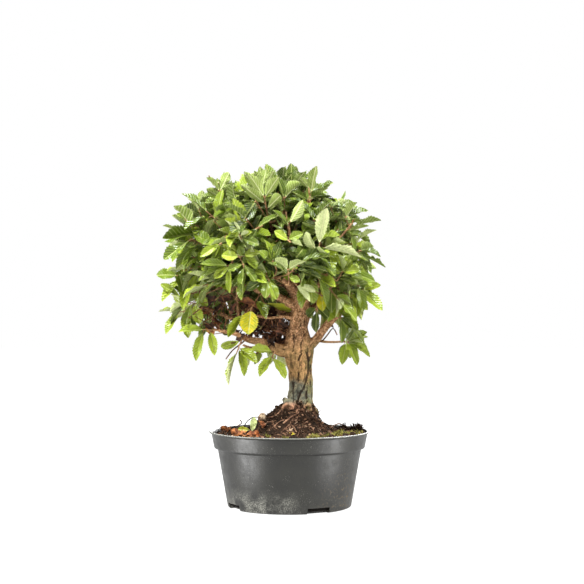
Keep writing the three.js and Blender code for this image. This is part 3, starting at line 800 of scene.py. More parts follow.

# %% [markdown]
# ## The deepest furrows
# Noise puts its cracks anywhere. The few deep ones that catch the eye on the front are listed, as lines of
# X and Z. Each is pressed into the front of the skin, deepest in its middle.

# %% Press in the furrows that show
FURROW_DEPTH = 1.6
CARVED_SHARE = 0.8
FURROWS = [
    # half width, then x and z from point to point
    (1.1, [(18, 153), (19.5, 135), (16.5, 125), (13.5, 117), (10.5, 113), (7, 101)]),
    (0.8, [(3.5, 170), (4.5, 162), (3, 154)]), (0.8, [(15, 171), (11, 161), (12, 152), (9, 146)]),
    (0.7, [(15.5, 156), (18, 148)]), (0.6, [(10, 151), (7.5, 141), (9, 131)]),
    (0.6, [(1, 133), (2.5, 121)]), (0.7, [(4, 124), (3, 112), (5, 103)]),
    (0.6, [(14.5, 121), (17, 110), (15.5, 102)]), (0.6, [(21, 160), (25, 165), (31, 172)]),
    (0.6, [(-4, 156), (-10, 158), (-16, 158)]),
]

front = smoothstep(-skin[:, 1], 2, 6)
for wide, furrow in FURROWS:
    off = np.full(len(skin), 99.0)
    for start, end in zip(np.array(furrow[:-1], float), np.array(furrow[1:], float)):
        way = end - start
        away = skin[:, [0, 2]] - start
        share = np.clip(away @ way / (way @ way), 0, 1)
        off = np.minimum(off, norm(away - share[:, None] * way, axis=1))
    depths += FURROW_DEPTH * wide * np.exp(-((off / wide) ** 2)) * front
skin -= normals * (depths * CARVED_SHARE)[:, None]
wood_mesh.vertices.foreach_set("co", (skin * MM).astype(np.float32).ravel())
note(wood_mesh, "crevice", "FLOAT", np.clip(depths / FURROW_DEPTH, -1, 1))
wood_mesh.update()
print("with its furrows it runs to", round(depths.max(), 2), "mm")

# %% [markdown]
# ## The bark's finish
# The colour of bark follows its height: grey-green with algae near the soil, light tan above, and red-brown
# and grainy where the limbs part. The cracks are painted nearly black by their depth, as painted shade in
# them. The right side is mossy.

# %% Finish the wood
bark_material = new_material("bark", 0.88, 0.25)
axes = place_on_piece()
height = plus(axes["Z"], times(mottled(90, raw=True), 0.02))
low = two_tone(160, 0.35, 0.65, (98, 102, 90), (152, 145, 117))
tan = two_tone(260, 0.35, 0.65, (203, 158, 106), (152, 122, 78))
# The upper wood's red-brown is its own colour, painted lighter as painted light where the head shades it.
red = two_tone(420, 0.4, 0.6, (222, 172, 126), (158, 114, 78), 5)
root = two_tone(210, 0.4, 0.6, (206, 152, 118), (120, 88, 66))
colour = mixed(eased(height, 0.128, 0.142), low, tan)
colour = mixed(eased(height, 0.160, 0.180), colour, red)
colour = mixed(eased(height, 0.110, 0.117, 1, 0), colour, root)

mossy_side = times(eased(axes["X"], 0.012, 0.02), eased(height, 0.185, 0.16))
colour = washed(colour, times(mossy_side, mottled(130, 0.35, 0.6)), 0.7, (116, 116, 66))
grain_share = eased(height, 0.165, 0.185, 0.42, 0.66)
colour = washed(colour, mottled(900, 0.5, 0.6, 5), grain_share, (70, 44, 26))
streaks = mottled(330, 0.5, 0.64, 5, stretch=(1, 1, 0.3))
streak_share = plus(eased(height, 0.185, 0.13, 0.25, 0.75), times(mossy_side, 0.4), clamp=True)
colour = washed(colour, streaks, streak_share, (46, 36, 26))
# The deep cracks are painted nearly black by their depth: painted shade in them.
deep = eased(attribute("crevice"), 0.25, 0.8)
feed("Base Color", washed(colour, deep, 0.85, (42, 30, 22)))
bump(mottled(700, raw=True, detail=6), 0.0009, 0.8)
wood = shown(wood_mesh, "wood")
coat(wood, bark_material)
finish_piece(wood, "bark", "tree")
print("the bark's finish has", len(Bench.tree.nodes), "nodes")

# %% [markdown]
# ## Crumbs, clods and fibres
# Loose earth is made of crumbs of every size with fine roots between them. A sculpted surface has no
# loose edges, so a few clods, chips and fibres are modelled with a handful of faces each, to be
# strewn over the soil's top.

# %% Model what is strewn
def clod_shape(name, key, flat):
    """A rough lump about one unit across."""
    lump = bmesh.new()
    bmesh.ops.create_icosphere(lump, subdivisions=1, radius=0.5)
    for i, corner in enumerate(lump.verts):
        corner.co *= 0.75 + 0.5 * chance(key, i, 51)
        corner.co.z *= flat
    made = bpy.data.meshes.new(name)
    lump.to_mesh(made)
    lump.free()
    return bpy.data.objects.new(name, made)


def stick_shape(name, key, thick, bend):
    """A bent three-sided stick about one unit long."""
    points, faces = [], []
    for i in range(4):
        share = i / 3
        sideways = bend * sin(pi * share) + 0.06 * wander(key, i, 52)
        at = vec(share - 0.5, sideways, 0.08 * wander(key, i, 53))
        for k in range(3):
            angle = 2 * pi * k / 3
            r = thick * (1 - 0.5 * share)
            points.append(tuple(1000 * (at + vec(0, r * cos(angle), r * sin(angle)))))
    for i in range(3):
        for k in range(3):
            a, b = 3 * i + k, 3 * i + (k + 1) % 3
            faces.append((a, a + 3, b + 3, b)[::-1])
    faces += [(2, 1, 0), (9, 10, 11)]
    return bpy.data.objects.new(name, plain_mesh(name, points, faces))


clods = gathered("clods", [
    clod_shape(f"clod_{i}", i, flat) for i, flat in enumerate((0.9, 0.7, 0.85, 0.35))])
fibres = gathered("fibres", [
    stick_shape(f"fibre_{i}", i, 0.035, bend) for i, bend in enumerate((0.1, 0.22, -0.16, 0.35))])
chips = gathered("chips", [clod_shape(f"chip_{i}", 7 + i, 0.2) for i in range(3)])

# %% [markdown]
# ## Strewing
# Tens of thousands of crumbs can't be laid one by one, and a particle system would be lost on the way
# out. A tree of nodes scatters points over the ground, more where it lies loose, and sets a turned,
# scaled copy of a shape on each. Every copy gets its own tint, so that neighbours differ.

# %% Build the tree of nodes that strews
strew_tree, given, result = new_group(
    "strew", "Geometry", ["Geometry"], Ground="Geometry", Shapes="Collection", Density=100000.0,
    Smallest=0.001, Largest=0.003, Tint_Low=0.0, Tint_High=1.0, Seed=1, Finish="Material")


def drawn_number(low, high, seed):
    made = node("FunctionNodeRandomValue", data_type="FLOAT")
    for key, value in (("Min", low), ("Max", high), ("Seed", seed)):
        socket = next(s for s in made.inputs if s.name == key and s.enabled)
        if isinstance(value, bpy.types.NodeSocket):
            link(value, socket)
        else:
            socket.default_value = value
    return next(s for s in made.outputs if s.enabled)


strewn = node("GeometryNodeDistributePointsOnFaces", {
    "Mesh": given["Ground"], "Density": times(named("loose"), given["Density"]),
    "Seed": given["Seed"]}, distribute_method="RANDOM")
pieces = node("GeometryNodeCollectionInfo",
              {"Collection": given["Shapes"], "Separate Children": True, "Reset Children": True})
turns = node("ShaderNodeCombineXYZ", {
    "X": drawn_number(-0.7, 0.7, 1), "Y": drawn_number(-0.7, 0.7, 2), "Z": drawn_number(0.0, 6.28, 3)})
turns = node("FunctionNodeEulerToRotation", {0: turns.outputs[0]})
skew = maths("POWER", drawn_number(0.0, 1.0, 4), 2.2)
spread = maths("SUBTRACT", given["Largest"], given["Smallest"])
scale = plus(given["Smallest"], times(skew, spread))
copies = node("GeometryNodeInstanceOnPoints", {
    "Points": strewn.outputs["Points"], "Instance": pieces.outputs[0], "Pick Instance": True,
    "Rotation": turns.outputs[0], "Scale": scale})
tinted = node("GeometryNodeStoreNamedAttribute", {
    "Geometry": copies.outputs[0], "Name": "tint",
    "Value": drawn_number(given["Tint Low"], given["Tint High"], 5),
}, data_type="FLOAT", domain="INSTANCE")
hand_out(tinted.outputs[0], given["Finish"], result)
print("the strewing tree has", len(strew_tree.nodes), "nodes")

# %% [markdown]
# ## Loose earth
# Crumbs lie everywhere, clods and fibres mostly on the mound, where the root ball was broken up,
# and flat chips in the dip at the left. Each kind is strewn in one run, as a piece of its own.

# %% Strew the soil
def weigh_ground(weight):
    """A copy of the soil's surface with how loose it lies at each point."""
    made = soil.data.copy()
    values = []
    for corner in made.vertices:
        x, y, z = (c / MM for c in corner.co)
        top = z > soil_height(x, y) - 6 and hypot(x, y) < SOIL_EDGE_R - 0.8
        clear = hypot(x - TRUNK_X, y) > 9
        values.append(weight(x, y) if top and clear else 0.0)
    note(made, "loose", "FLOAT", values)
    return made


def on_mound(x, y):
    return 1.0 if hypot(x - TRUNK_X, y) < 34 else 0.45


def in_the_dip(x, y):
    """1 in the low ground at the left, less elsewhere."""
    return 1.0 if x < -40 else 0.25


def strew(name, shapes, weight, density, smallest, largest, tints, seed, finish=soil_material):
    """Strews copies of some shapes over the soil. The density is per square metre."""
    mesh = run_tree(strew_tree, weigh_ground(weight), Shapes=shapes, Density=float(density),
                    Smallest=smallest, Largest=largest, Tint_Low=tints[0], Tint_High=tints[1],
                    Seed=seed, Finish=finish)
    finish_piece(shown(mesh, name, smooth=False), "soil")
    print(name, "has", faces_of(mesh), "triangles")


strew("soil_crumbs", clods, lambda x, y: 1.0, 180000, 0.0010, 0.0034, (0.0, 0.92), 11)
strew("soil_clods", clods, on_mound, 24000, 0.0030, 0.0078, (0.0, 0.6), 12)
strew("soil_fibres", fibres, on_mound, 90000, 0.0035, 0.0125, (0.35, 1.0), 13)
strew("soil_chips", chips, in_the_dip, 9000, 0.0030, 0.0090, (0.5, 0.95), 14)

# %% [markdown]
# ## One leaf
# A zelkova leaf is a pointed oval with forward-leaning teeth, folded a little along its rib and
# curled down to its tip. It is modelled once in unit size, as a thin lens with an upper and an under
# side. Its length runs from 0 to 1 along X, and its own UV map says where on the leaf a point lies,
# for the veins.

# %% Model a leaf
STALK_SHARE = 0.1
TEETH = 11
TOOTH_LEAN = 0.8
TOOTH_OUT = 1.07
NOTCH_OUT = 0.89
RIB_HALF_THICK = 0.011


def leaf_half_width(share, base, tip):
    """Half the width at a share of the length: a wedge at the base and a blunt point at the tip."""
    widest = base / (base + tip)
    if not 0 < share < 1:
        return 0.0
    return 0.5 * (share ** base * (1 - share) ** tip) / (widest ** base * (1 - widest) ** tip)


def leaf_shape(name, fold, curl, wave, bend, twist, base, tip_form):
    """A leaf of unit length and width. fold lifts its halves, curl drops its tip, wave ripples its
    edge, bend swings its tip sideways and twist turns it about its rib."""
    points, faces, sharp, rim = [], [], [], set()

    def put(share, out, rise):
        x = STALK_SHARE + (1 - STALK_SHARE) * share
        y = out * leaf_half_width(share, base, tip_form)
        ripple = wave * sin(share * 15 + (1 if out > 0 else 4)) * abs(y)
        z = fold * abs(y) - curl * share ** 2 + rise + ripple
        turn = twist * share
        y, z = y * cos(turn) - z * sin(turn), y * sin(turn) + z * cos(turn)
        points.append((x * 1000, (y + bend * share ** 2) * 1000, z * 1000))
        return len(points) - 1

    places = [i / TEETH for i in range(TEETH + 1)]
    thick = [RIB_HALF_THICK * (1 - 0.75 * s) for s in places]
    upper = [put(s, 0, t) for s, t in zip(places[:-1], thick)]
    under = [put(s, 0, -t) for s, t in zip(places[:-1], thick)]
    tip = put(1, 0, 0)
    upper.append(tip)
    under.append(tip)
    for way in (1, -1):
        notches = [put(s + 0.008, way * NOTCH_OUT, 0) for s in places[:-1]] + [tip]
        notches[0] = put(0.02, way, 0)
        points_out = [put(s + TOOTH_LEAN / TEETH, way * TOOTH_OUT, 0) for s in places[:-1]]
        rim |= {*notches, *points_out}
        for i in range(TEETH):
            last = i == TEETH - 1
            for rib, side in ((upper, way), (under, -way)):
                inner = [rib[i], notches[i], points_out[i]]
                ahead = [tip] if last else [notches[i + 1], rib[i + 1]]
                outer = [rib[i], points_out[i], *ahead]
                for face in (inner, outer):
                    faces.append(([face[0]] + face[:0:-1] if side > 0 else face, rib is under))
            sharp += [(notches[i], points_out[i]), (points_out[i], notches[i + 1])]
        root = [upper[0], under[0], notches[0]]
        faces.append((root[::-1] if way < 0 else root, False))
    first = len(points)
    for x in (0, STALK_SHARE + 0.03):
        for y, z in ((0.03, 0.01), (-0.03, 0.01), (0, -0.02)):
            points.append((x * 1000, y * 1000, z * 1000))
    for k in range(3):
        a, b = first + k, first + (k + 1) % 3
        faces.append(([a, b, b + 3, a + 3], None))
    faces += [([first + k for k in (2, 1, 0)], None), ([first + k for k in (3, 4, 5)], None)]
    made = plain_mesh(name, points, [f for f, _ in faces])
    made.shade_smooth()
    note(made, "margin", "FLOAT", [1.0 if i in rim else 0.0 for i in range(len(points))])
    note(made, "under", "FLOAT", [1.0 if side else 0.0 for _, side in faces], "FACE")
    note(made, "stalk", "FLOAT", [1.0 if side is None else 0.0 for _, side in faces], "FACE")
    sharp += list(zip(upper, upper[1:]))
    wanted = {frozenset(pair) for pair in sharp}
    note(made, "sharp_edge", "BOOLEAN", [frozenset(e.vertices) in wanted for e in made.edges], "EDGE")
    chart = made.uv_layers.new(name="leaf_chart")
    for loop in made.loops:
        at = made.vertices[loop.vertex_index].co
        chart.data[loop.index].uv = (at.x, at.y + 0.5)
    return bpy.data.objects.new(name, made)


print("a leaf has", TEETH, "teeth a side")

# %% [markdown]
# ## Leaves that differ
# A head of identical leaves looks stamped. Eight fresh and two dried variants differ in fold, curl,
# waviness, bend, twist and form, and each leaf on the tree draws one of them.

# %% Make the leaf variants
LEAF_VARIANTS = [
    # fold, curl, wave, bend, twist, form of the base, form of the tip
    (0.24, 0.12, 0.04, 0.00, 0.0, 0.82, 0.76),
    (0.30, 0.12, 0.06, 0.03, 0.1, 0.90, 0.74),
    (0.22, 0.12, 0.05, -0.03, -0.1, 0.85, 0.66),
    (0.42, 0.20, 0.08, 0.04, 0.25, 0.85, 0.80),
    (0.18, 0.06, 0.10, -0.06, -0.15, 1.00, 0.58),
    (0.34, 0.28, 0.08, 0.06, 0.3, 0.80, 0.92),
    (0.28, -0.08, 0.08, -0.04, 0.15, 0.90, 0.66),
    (0.60, 0.08, 0.06, -0.05, -0.35, 0.75, 0.76),
    # dried ones
    (0.75, 0.34, 0.28, 0.10, 0.9, 0.80, 0.80),
    (-0.45, 0.30, 0.34, -0.12, -0.8, 0.85, 0.75),
]
FRESH_VARIANTS = 8
leaf_shapes = gathered("leaf_shapes", [
    leaf_shape(f"leaf_shape_{i}", *variant) for i, variant in enumerate(LEAF_VARIANTS)])

# %% [markdown]
# ## The leaves' finish
# Young leaves are yellow-green, old ones deep green, and some have turned yellow or brown. Each leaf
# carries two numbers for that, its age and how far it has turned. The veins could be a picture, but a
# pattern worked out from the leaf's own chart stays sharp at any size, and one group serves all
# leaves.

# %% The veins as a shader group
veins, given, result = new_group("leaf_veins", "Shader", ["Mask", "Quilt"], Pairs=9.0, Slant=0.55,
                                 Width=0.16, Rib_Width=0.075)
chart = node("ShaderNodeUVMap", uv_map="leaf_chart").outputs[0]
axes = node("ShaderNodeSeparateXYZ", {0: chart}).outputs
out = maths("ABSOLUTE", maths("SUBTRACT", axes["Y"], 0.5))
rib = eased(out, 0.0, given["Rib Width"], 1, 0)
leaned = maths("SUBTRACT", axes["X"], times(out, given["Slant"]))
phase = maths("PINGPONG", times(leaned, given["Pairs"]), 0.5)
side_veins = times(eased(phase, 0.0, given["Width"], 1, 0), 0.6)
link(maths("MAXIMUM", rib, side_veins), result.inputs["Mask"])
link(times(maths("SUBTRACT", 1.0, rib), phase), result.inputs["Quilt"])
print("the vein group has", len(veins.nodes), "nodes")

# %% [markdown]
# ## Both sides of a leaf
# The upper side is glossy, the under side pale and matt. One function makes both finishes, because
# they differ only in colours, gloss and how strongly the veins show. Turning leaves pass through
# yellow, orange and brown on one ramp. A Translucent shader mixed in lets part of the light through,
# yellower.

# %% Finish both sides of the leaves
THROUGH = 0.17
TURNING = [
    # how far a leaf has turned, and its colour then
    (0.0, srgb(160, 176, 40)), (0.42, srgb(190, 188, 8)), (0.52, srgb(228, 212, 0)),
    (0.66, srgb(222, 176, 16)), (0.78, srgb(200, 128, 76)), (0.9, srgb(136, 86, 60)),
    (1.0, srgb(62, 42, 30)),
]


def leaf_finish(name, roughness, specular, young, middle, old, vein_colour, vein_share, through):
    """One side of the leaves. Three greens run from young to old."""
    made = new_material(name, roughness, specular)
    vein, quilt = node("ShaderNodeGroup", node_tree=veins).outputs
    # Age also carries painted shade: leaves deep in the head and at its top are made older, so darker.
    green = shades(attribute("age"), (0.0, young), (0.5, middle), (1.0, old))
    green = mixed(times(mottled(300, 0.3, 0.7), 0.35), green, middle)
    green = mixed(times(mottled(900, 0.45, 0.65), 0.3), green, old)
    turned_far = attribute("turned")
    uneven = times(maths("SUBTRACT", mottled(260, raw=True), 0.5), 0.5)
    turned_to = shades(plus(turned_far, uneven), *TURNING)
    colour = mixed(eased(turned_far, 0.05, 0.4), green, turned_to)
    dried = eased(turned_far, 0.4, 0.9)
    vein = maths("MAXIMUM", vein, eased(attribute("margin"), 0.88, 1.0, 0, 0.4))
    vein_left = maths("SUBTRACT", vein_share, times(dried, vein_share))
    colour = mixed(times(vein, vein_left), colour, vein_colour)
    feed("Base Color", colour)
    rough = plus(roughness, times(turned_far, 0.5), clamp=True)
    feed("Roughness", rough)
    bump(quilt, 0.0008, 1.0)
    glow = node("ShaderNodeBsdfTranslucent")
    link(mixed(0.75, colour, srgb(*through), "MULTIPLY"), glow.inputs["Color"])
    both = node("ShaderNodeMixShader", {0: THROUGH, 1: Bench.shader.outputs[0], 2: glow.outputs[0]})
    link(both.outputs[0], Bench.tree.nodes["Material Output"].inputs["Surface"])
    return made


upper_material = leaf_finish(
    "leaf_upper", 0.30, 0.5, srgb(178, 196, 52), srgb(110, 132, 22), srgb(40, 62, 10),
    srgb(200, 206, 126), 0.62, (255, 250, 90))
under_material = leaf_finish(
    "leaf_under", 0.62, 0.3, srgb(230, 238, 174), srgb(154, 172, 80), srgb(96, 120, 46),
    srgb(232, 234, 176), 0.85, (255, 250, 110))
print("both sides of the leaves have a finish")

# %% [markdown]
# ## A finish for small wooden bits
# Twigs, dead wood, bare roots and the husk are too small to show more than two colours and a fine
# grain. One function makes the finish of each from its own colours and sizes.

# %% Finish the twigs
def woody(name, rough, specular, scale, first, second, grain, depth, strength, spots=None):
    """Two mottled colours under a fine grain, with spots of a third where it is given."""
    made = new_material(name, rough, specular)
    colour = two_tone(scale, 0.35, 0.65, first, second)
    if spots:
        colour = washed(colour, mottled(800, 0.52, 0.62), 1, spots)
    feed("Base Color", colour)
    bump(mottled(grain, raw=True), depth, strength)
    return made


twig_material = woody("twig_bark", 0.7, 0.3, 260, (192, 148, 104), (126, 88, 60), 1500, 0.0003, 0.5)
print("the twigs' finish has", len(twig_material.node_tree.nodes), "nodes")

# %% [markdown]
# ## The tree of nodes that grows a leafy shoot
# A shoot is handed in as a very light mesh: chains of edges are its twigs, and single points are
# the roots of its leaves, each with numbers for its turn, size, variant, age and how far it has
# turned. The tree draws tubes along the chains, sets a leaf on each point, and makes it all real.

# %% Build the shoot tree
shoot_tree, given, result = new_group(
    "leafy_shoot", "Geometry", ["Geometry"], Skeleton="Geometry", Leaf_Shapes="Collection",
    Upper="Material", Under="Material", Bark="Material", Leaf_Scale=1.0, Twig_Scale=1.0)
parts = node("GeometryNodeSeparateGeometry",
             {"Geometry": given["Skeleton"], "Selection": named("leafy", "BOOLEAN")})
twig_tubes = tubes(parts.outputs["Inverted"], 6, given["Twig Scale"])
twig_tubes = node("GeometryNodeSetMaterial", {"Geometry": twig_tubes, "Material": given["Bark"]})
shapes = node("GeometryNodeCollectionInfo",
              {"Collection": given["Leaf Shapes"], "Separate Children": True, "Reset Children": True})
size = node("ShaderNodeVectorMath",
            {0: named("size", "FLOAT_VECTOR"), "Scale": given["Leaf Scale"]}, operation="SCALE")
leafage = node("GeometryNodeInstanceOnPoints", {
    "Points": parts.outputs["Selection"], "Instance": shapes.outputs[0], "Pick Instance": True,
    "Instance Index": named("variant", "INT"), "Rotation": named("lay", "QUATERNION"),
    "Scale": size.outputs[0]})
leafage = node("GeometryNodeRealizeInstances", {"Geometry": leafage.outputs[0]}).outputs[0]
for key, which in (("Upper", None), ("Under", "under"), ("Bark", "stalk")):
    inputs = {"Geometry": leafage, "Material": given[key]}
    if which:
        inputs["Selection"] = maths("GREATER_THAN", named(which), 0.5)
    leafage = node("GeometryNodeSetMaterial", inputs).outputs[0]
both = node("GeometryNodeJoinGeometry")
link(leafage, both.inputs[0])
link(twig_tubes.outputs[0], both.inputs[0])
link(both.outputs[0], result.inputs["Geometry"])
print("the shoot tree has", len(shoot_tree.nodes), "nodes")

# %% [markdown]
# ## Where the shoots grow
# The imported model lists its most visible shoots one by one and spreads the others evenly round the head
# by the golden angle, as seeds sit in a sunflower. The same rule here gives the same places.

# %% Set the listed shoots and those all round
CROWN = vec(-17, 0, 245)
CROWN_HALF = vec(104, 94, 88)
SHOOT_FROM = 0.5
SHOOT_TO = 0.8
SHOOTS_ALL_ROUND = 50
LOWEST_SHOOT = -0.66
SHOOT_REACH_VARIES = 0.06
SHOOT_STRAY = 6
SHOOT_LIFT = 2
SHOOT_DROOP = 4
WINDOW_TOP = 205
WINDOW_HALF = 50
GOLDEN = pi * (3 - sqrt(5))

# Each leaf: its share of the shoot, its tip, its width, the way its upper side looks, its age and,
# for a few, how far it has turned.
SHOOTS_BY_HAND = [
    ((-20, -52, 282), (-23.5, -66, 302), [(0.5, (-7, -78, 306), 12, (0.2, 0.9, 0.5), 0.4),
     (0.72, (-41, -76, 312), 12, (-0.1, 0.9, 0.4), 0.4), (1, (-37, -68, 325), 13, (0.4, 0.9, 0.1), 0.3),
     (1, (-11, -70, 323), 14, (-0.4, 0.9, 0.1), 0.3)]),
    ((3, -60, 250), (-0.5, -78, 277), [(1, (14, -84, 299), 13, (0.5, 0.8, 0.1), 0.3),
     (0.85, (-13, -86, 291), 12, (0.2, -0.5, 0.9), 0.6)]),
    ((25, -52, 243), (28, -72, 256), [(1, (34, -82, 293), 16, (-0.2, 0.95, 0.1), 0),
     (0.9, (69, -74, 250), 14, (0, 0.5, 0.9), 0), (0.6, (13, -82, 270), 12, (-0.6, 0.8, 0.2), 0.2),
     (0.3, (44, -70, 230), 13, (0.2, -0.7, 0.7), 0.6)]),
    ((-30, -28, 209), (-37, -44, 197), [(1, (-40, -52, 173), 17, (-0.2, -0.95, 0.1), 0, 0.46),
     (0.6, (-60, -50, 175), 12, (-0.2, -0.8, 0.6), 0.1),
     (0.3, (-22, -56, 190), 12, (0.2, -0.7, 0.6), 0.3)]),
    ((-12, -52, 226), (-19, -66, 228), [(1, (-38, -80, 256), 11, (-0.7, 0.2, 0.6), 0.3),
     (1, (-14, -78, 205), 13, (0.6, -0.7, 0.3), 0.4), (0.6, (6, -78, 238), 14, (0.1, -0.5, 0.9), 0.3),
     (0.4, (-42, -72, 218), 13, (-0.2, -0.6, 0.8), 0.3)]),
    ((60, -20, 213), (71, -24, 215), [(1, (89, -26, 221), 12, (0, -0.8, 0.6), 0.4),
     (0.85, (91, -34, 197), 15, (0.2, -0.8, 0.5), 0.5),
     (0.5, (66, -40, 191), 12, (0.2, -0.9, 0.2), 0.5)]),
    ((-92, -4, 218), (-110, -10, 229), [(1, (-131, -14, 231), 15, (0, -0.8, 0.6), 0.85),
     (0.8, (-126, -22, 206), 10, (-0.5, -0.8, 0.3), 0.3),
     (0.45, (-104, -32, 198), 13, (-0.1, -0.9, 0.4), 0.5),
     (0.5, (-96, -26, 248), 13, (-0.3, -0.6, 0.7), 0.4)]),
    ((-4, -10, 300), (2, -12, 320), [(1, (2, -14, 340), 12, (0.1, -0.95, 0.2), 0.5),
     (0.7, (22, -22, 331), 12, (0.2, -0.6, 0.8), 0.5),
     (0.6, (-20, -26, 330), 12, (-0.1, -0.6, 0.8), 0.4)]),
    ((26, -24, 214), (31, -33, 215), [(1, (32, -38, 195), 9, (-0.3, -0.95, 0), 0, 0.46),
     (0.7, (50, -46, 202), 12, (0.3, -0.8, 0.5), 0.5)]),
    ((-47, -16, 166), (-51, -21, 156), [(1, (-63, -26, 123), 9, (-0.9, -0.4, 0.2), 0),
     (0.8, (-43, -30, 132), 11, (0.4, -0.8, 0.3), 0.25),
     (0.75, (-32, -34, 146), 12, (0.1, -0.8, 0.5), 0.2)]),
    ((-15, -13, 154), (-17, -18, 149), [(1, (-3, -28, 130), 14, (0.2, -0.6, 0.8), 0.1),
     (0.6, (-30, -28, 132), 13, (-0.2, -0.8, 0.5), 0.3)]),
    ((54.6, 1, 163.9), (60, 0, 163), [(0.45, (52, -9, 142), 12, (-0.1, -0.9, 0.2), 0.6),
     (0.7, (68, -10, 142), 11, (0.3, -0.9, 0.2), 0.6), (1, (81, -4, 150), 10, (0.2, -0.7, 0.7), 0.5),
     (0.6, (58, 8, 183), 11, (-0.3, -0.9, 0.3), 0.6), (0.9, (78, 2, 170), 10, (0, -0.6, 0.8), 0.4)]),
    ((-97, -2, 196), (-109, -8, 193), [(1, (-123, -16, 173), 12, (-0.4, -0.8, 0.4), 0.5),
     (0.7, (-99, -24, 170), 13, (0.1, -0.9, 0.3), 0.5),
     (0.45, (-114, -24, 213), 12, (-0.3, -0.6, 0.7), 0.3),
     (0.9, (-130, -4, 196), 11, (-0.1, -0.3, 0.9), 0.4)]),
    ((-71, -15.5, 175), (-84, -20, 176), [(1, (-93, -24, 146), 12, (-0.3, -0.9, 0.2), 0.5),
     (0.55, (-73, -28, 152), 11, (0.1, -0.9, 0.3), 0.3),
     (0.9, (-108, -28, 176), 12, (-0.1, -0.8, 0.6), 0.4)]),
]


def round_place(i, total, seed, first=SHOOT_FROM, last=SHOOT_TO):
    """One of so many shoots spread evenly round the head, or None in the open window."""
    rise = 1 - 2 * (i + 0.5) / total
    if rise < LOWEST_SHOOT:
        return None
    turn = GOLDEN * i + 0.35 * wander(i + seed, 1)
    flat = sqrt(1 - rise * rise)
    way = vec(flat * cos(turn), flat * sin(turn), rise)
    reach = 1 + SHOOT_REACH_VARIES * wander(i + seed, 2)
    start = way * CROWN_HALF * first * reach + CROWN
    end = way * CROWN_HALF * last * reach + CROWN
    end += SHOOT_STRAY * stray(3, i + seed)
    end[2] += -SHOOT_DROOP if rise < 0 else SHOOT_LIFT
    in_window = end[2] < WINDOW_TOP and end[1] < 0 and abs(end[0]) < WINDOW_HALF
    return None if in_window else (start, end, [])


places = [(vec(*a), vec(*b), leaves) for a, b, leaves in SHOOTS_BY_HAND]
for i in range(SHOOTS_ALL_ROUND):
    place = round_place(i, SHOOTS_ALL_ROUND, 0)
    if place:
        places.append(place)
print(len(places), "shoots")

# %% [markdown]
# ## How a leaf lies
# Leaves spring from a twig in turn to either side, the lower ones at a wide angle and the last
# nearly along it. Each turns its upper side to the light. Its lie is three directions: along it,
# across it, and out of its upper side.

# %% Lay a leaf
PETIOLE = 3
LEAF_SIZE = 30
LEAF_PLACES = [0.1, 0.32, 0.52, 0.7, 0.88, 1]
LEAF_SPLAY_DEG = [70, 66, 60, 54, 48, 14]
LEAF_SHARES = [0.9, 1, 1.06, 1.04, 0.96, 0.94]
LEAF_FOLD = 0.28
LEAF_CURL = 0.12
CHANGES = 18


def laid(base, along, face):
    """The three ways of a leaf: along it, across it and out of its upper side."""
    normal = unit(face - np.dot(face, along) * along)
    return base, along, np.cross(normal, along), normal


def shown_leaf(place, leaf):
    share, tip, width, face = leaf[:4]
    base = lerp(place[0], place[1], share)
    along = vec(*tip) - base
    length = norm(along) - PETIOLE
    return laid(base, unit(along), vec(*face)), length, width


def drawn_leaf(place, shoot, k, change):
    way = unit(place[1] - place[0])
    side = vec(way[1], -way[0], 0)
    side = unit(side) if norm(side) >= 0.2 else vec(1, 0, 0)
    over = unit(np.cross(side, way))
    swing = [0, 30, -30, 60, -60, 90][change % 6]
    lift = [0, -16, 14][change // 6]
    turn = radians(152 * k + 60 * chance(shoot, 11) + 22 * wander(shoot, k, 12) + swing)
    splay = radians(LEAF_SPLAY_DEG[k] + 9 * wander(shoot, k, 13) + lift)
    along = way * cos(splay) + sin(splay) * (side * cos(turn) + over * sin(turn))
    along = unit(along - 0.12 * UP)
    face = 0.45 * way + 0.6 * UP + 0.4 * stray(14, shoot, k)
    base = lerp(place[0], place[1], LEAF_PLACES[k])
    length = LEAF_SIZE * LEAF_SHARES[k] * (1 + 0.16 * wander(shoot, k, 17)) - PETIOLE
    width = length * (0.5 + 0.05 * wander(shoot, k, 18))
    return laid(base, along, face), length, width


def packed_corners(lie, length, width):
    """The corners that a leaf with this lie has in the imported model."""
    base, along, across, normal = lie
    corners = []
    for share, out in ((0.28, 0.94), (0.37, 0.82), (0.6, 1.02), (0.68, 0.72), (1, 0)):
        for way in (1, -1):
            y = way * out * width / 2
            z = LEAF_FOLD * abs(y) - LEAF_CURL * length * share ** 2
            corners.append(base + along * (PETIOLE + share * length) + across * y + normal * z)
    return corners


print("a leaf lies along", np.round(drawn_leaf(places[14], 14, 0, 0)[0][1], 3))

# %% [markdown]
# ## How a twig runs
# A twig leaves the wood at a bud, swings up to its shoot and runs through it. A Bezier curve from
# the bud draws that swing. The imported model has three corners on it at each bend.

# %% Run a twig
FIRST_BUD_STOP = 9
TWIG_R = (1.5, 1.3, 0.95)
TWIG_BENDS_FROM = 14
TWIG_PAST = 0.9


def bud_points():
    buds = []
    for route in [LEADER[FIRST_BUD_STOP:], *LIMBS]:
        at = [vec(*stop[:3]) for stop in route]
        for i in range(len(at) - 1):
            buds += [lerp(at[i], at[i + 1], k / 3) for k in range(1 if i == 0 else 0, 3)]
        buds.append(at[-1])
    return buds


def bezier(a, b, c, d, t):
    return a * (1 - t) ** 3 + 3 * b * t * (1 - t) ** 2 + 3 * c * t * t * (1 - t) + d * t ** 3


def twig_line(bud, place, shares):
    """Points of a twig from its bud to its shoot's tip."""
    start, end = place[:2]
    way = unit(end - start)
    span = norm(bud - start)
    bends = (bud, lerp(bud, start, 0.35) - 0.04 * span * UP, start - 0.35 * span * way, start)
    return [bezier(*bends, t) for t in shares] + [start, end + way * TWIG_PAST]


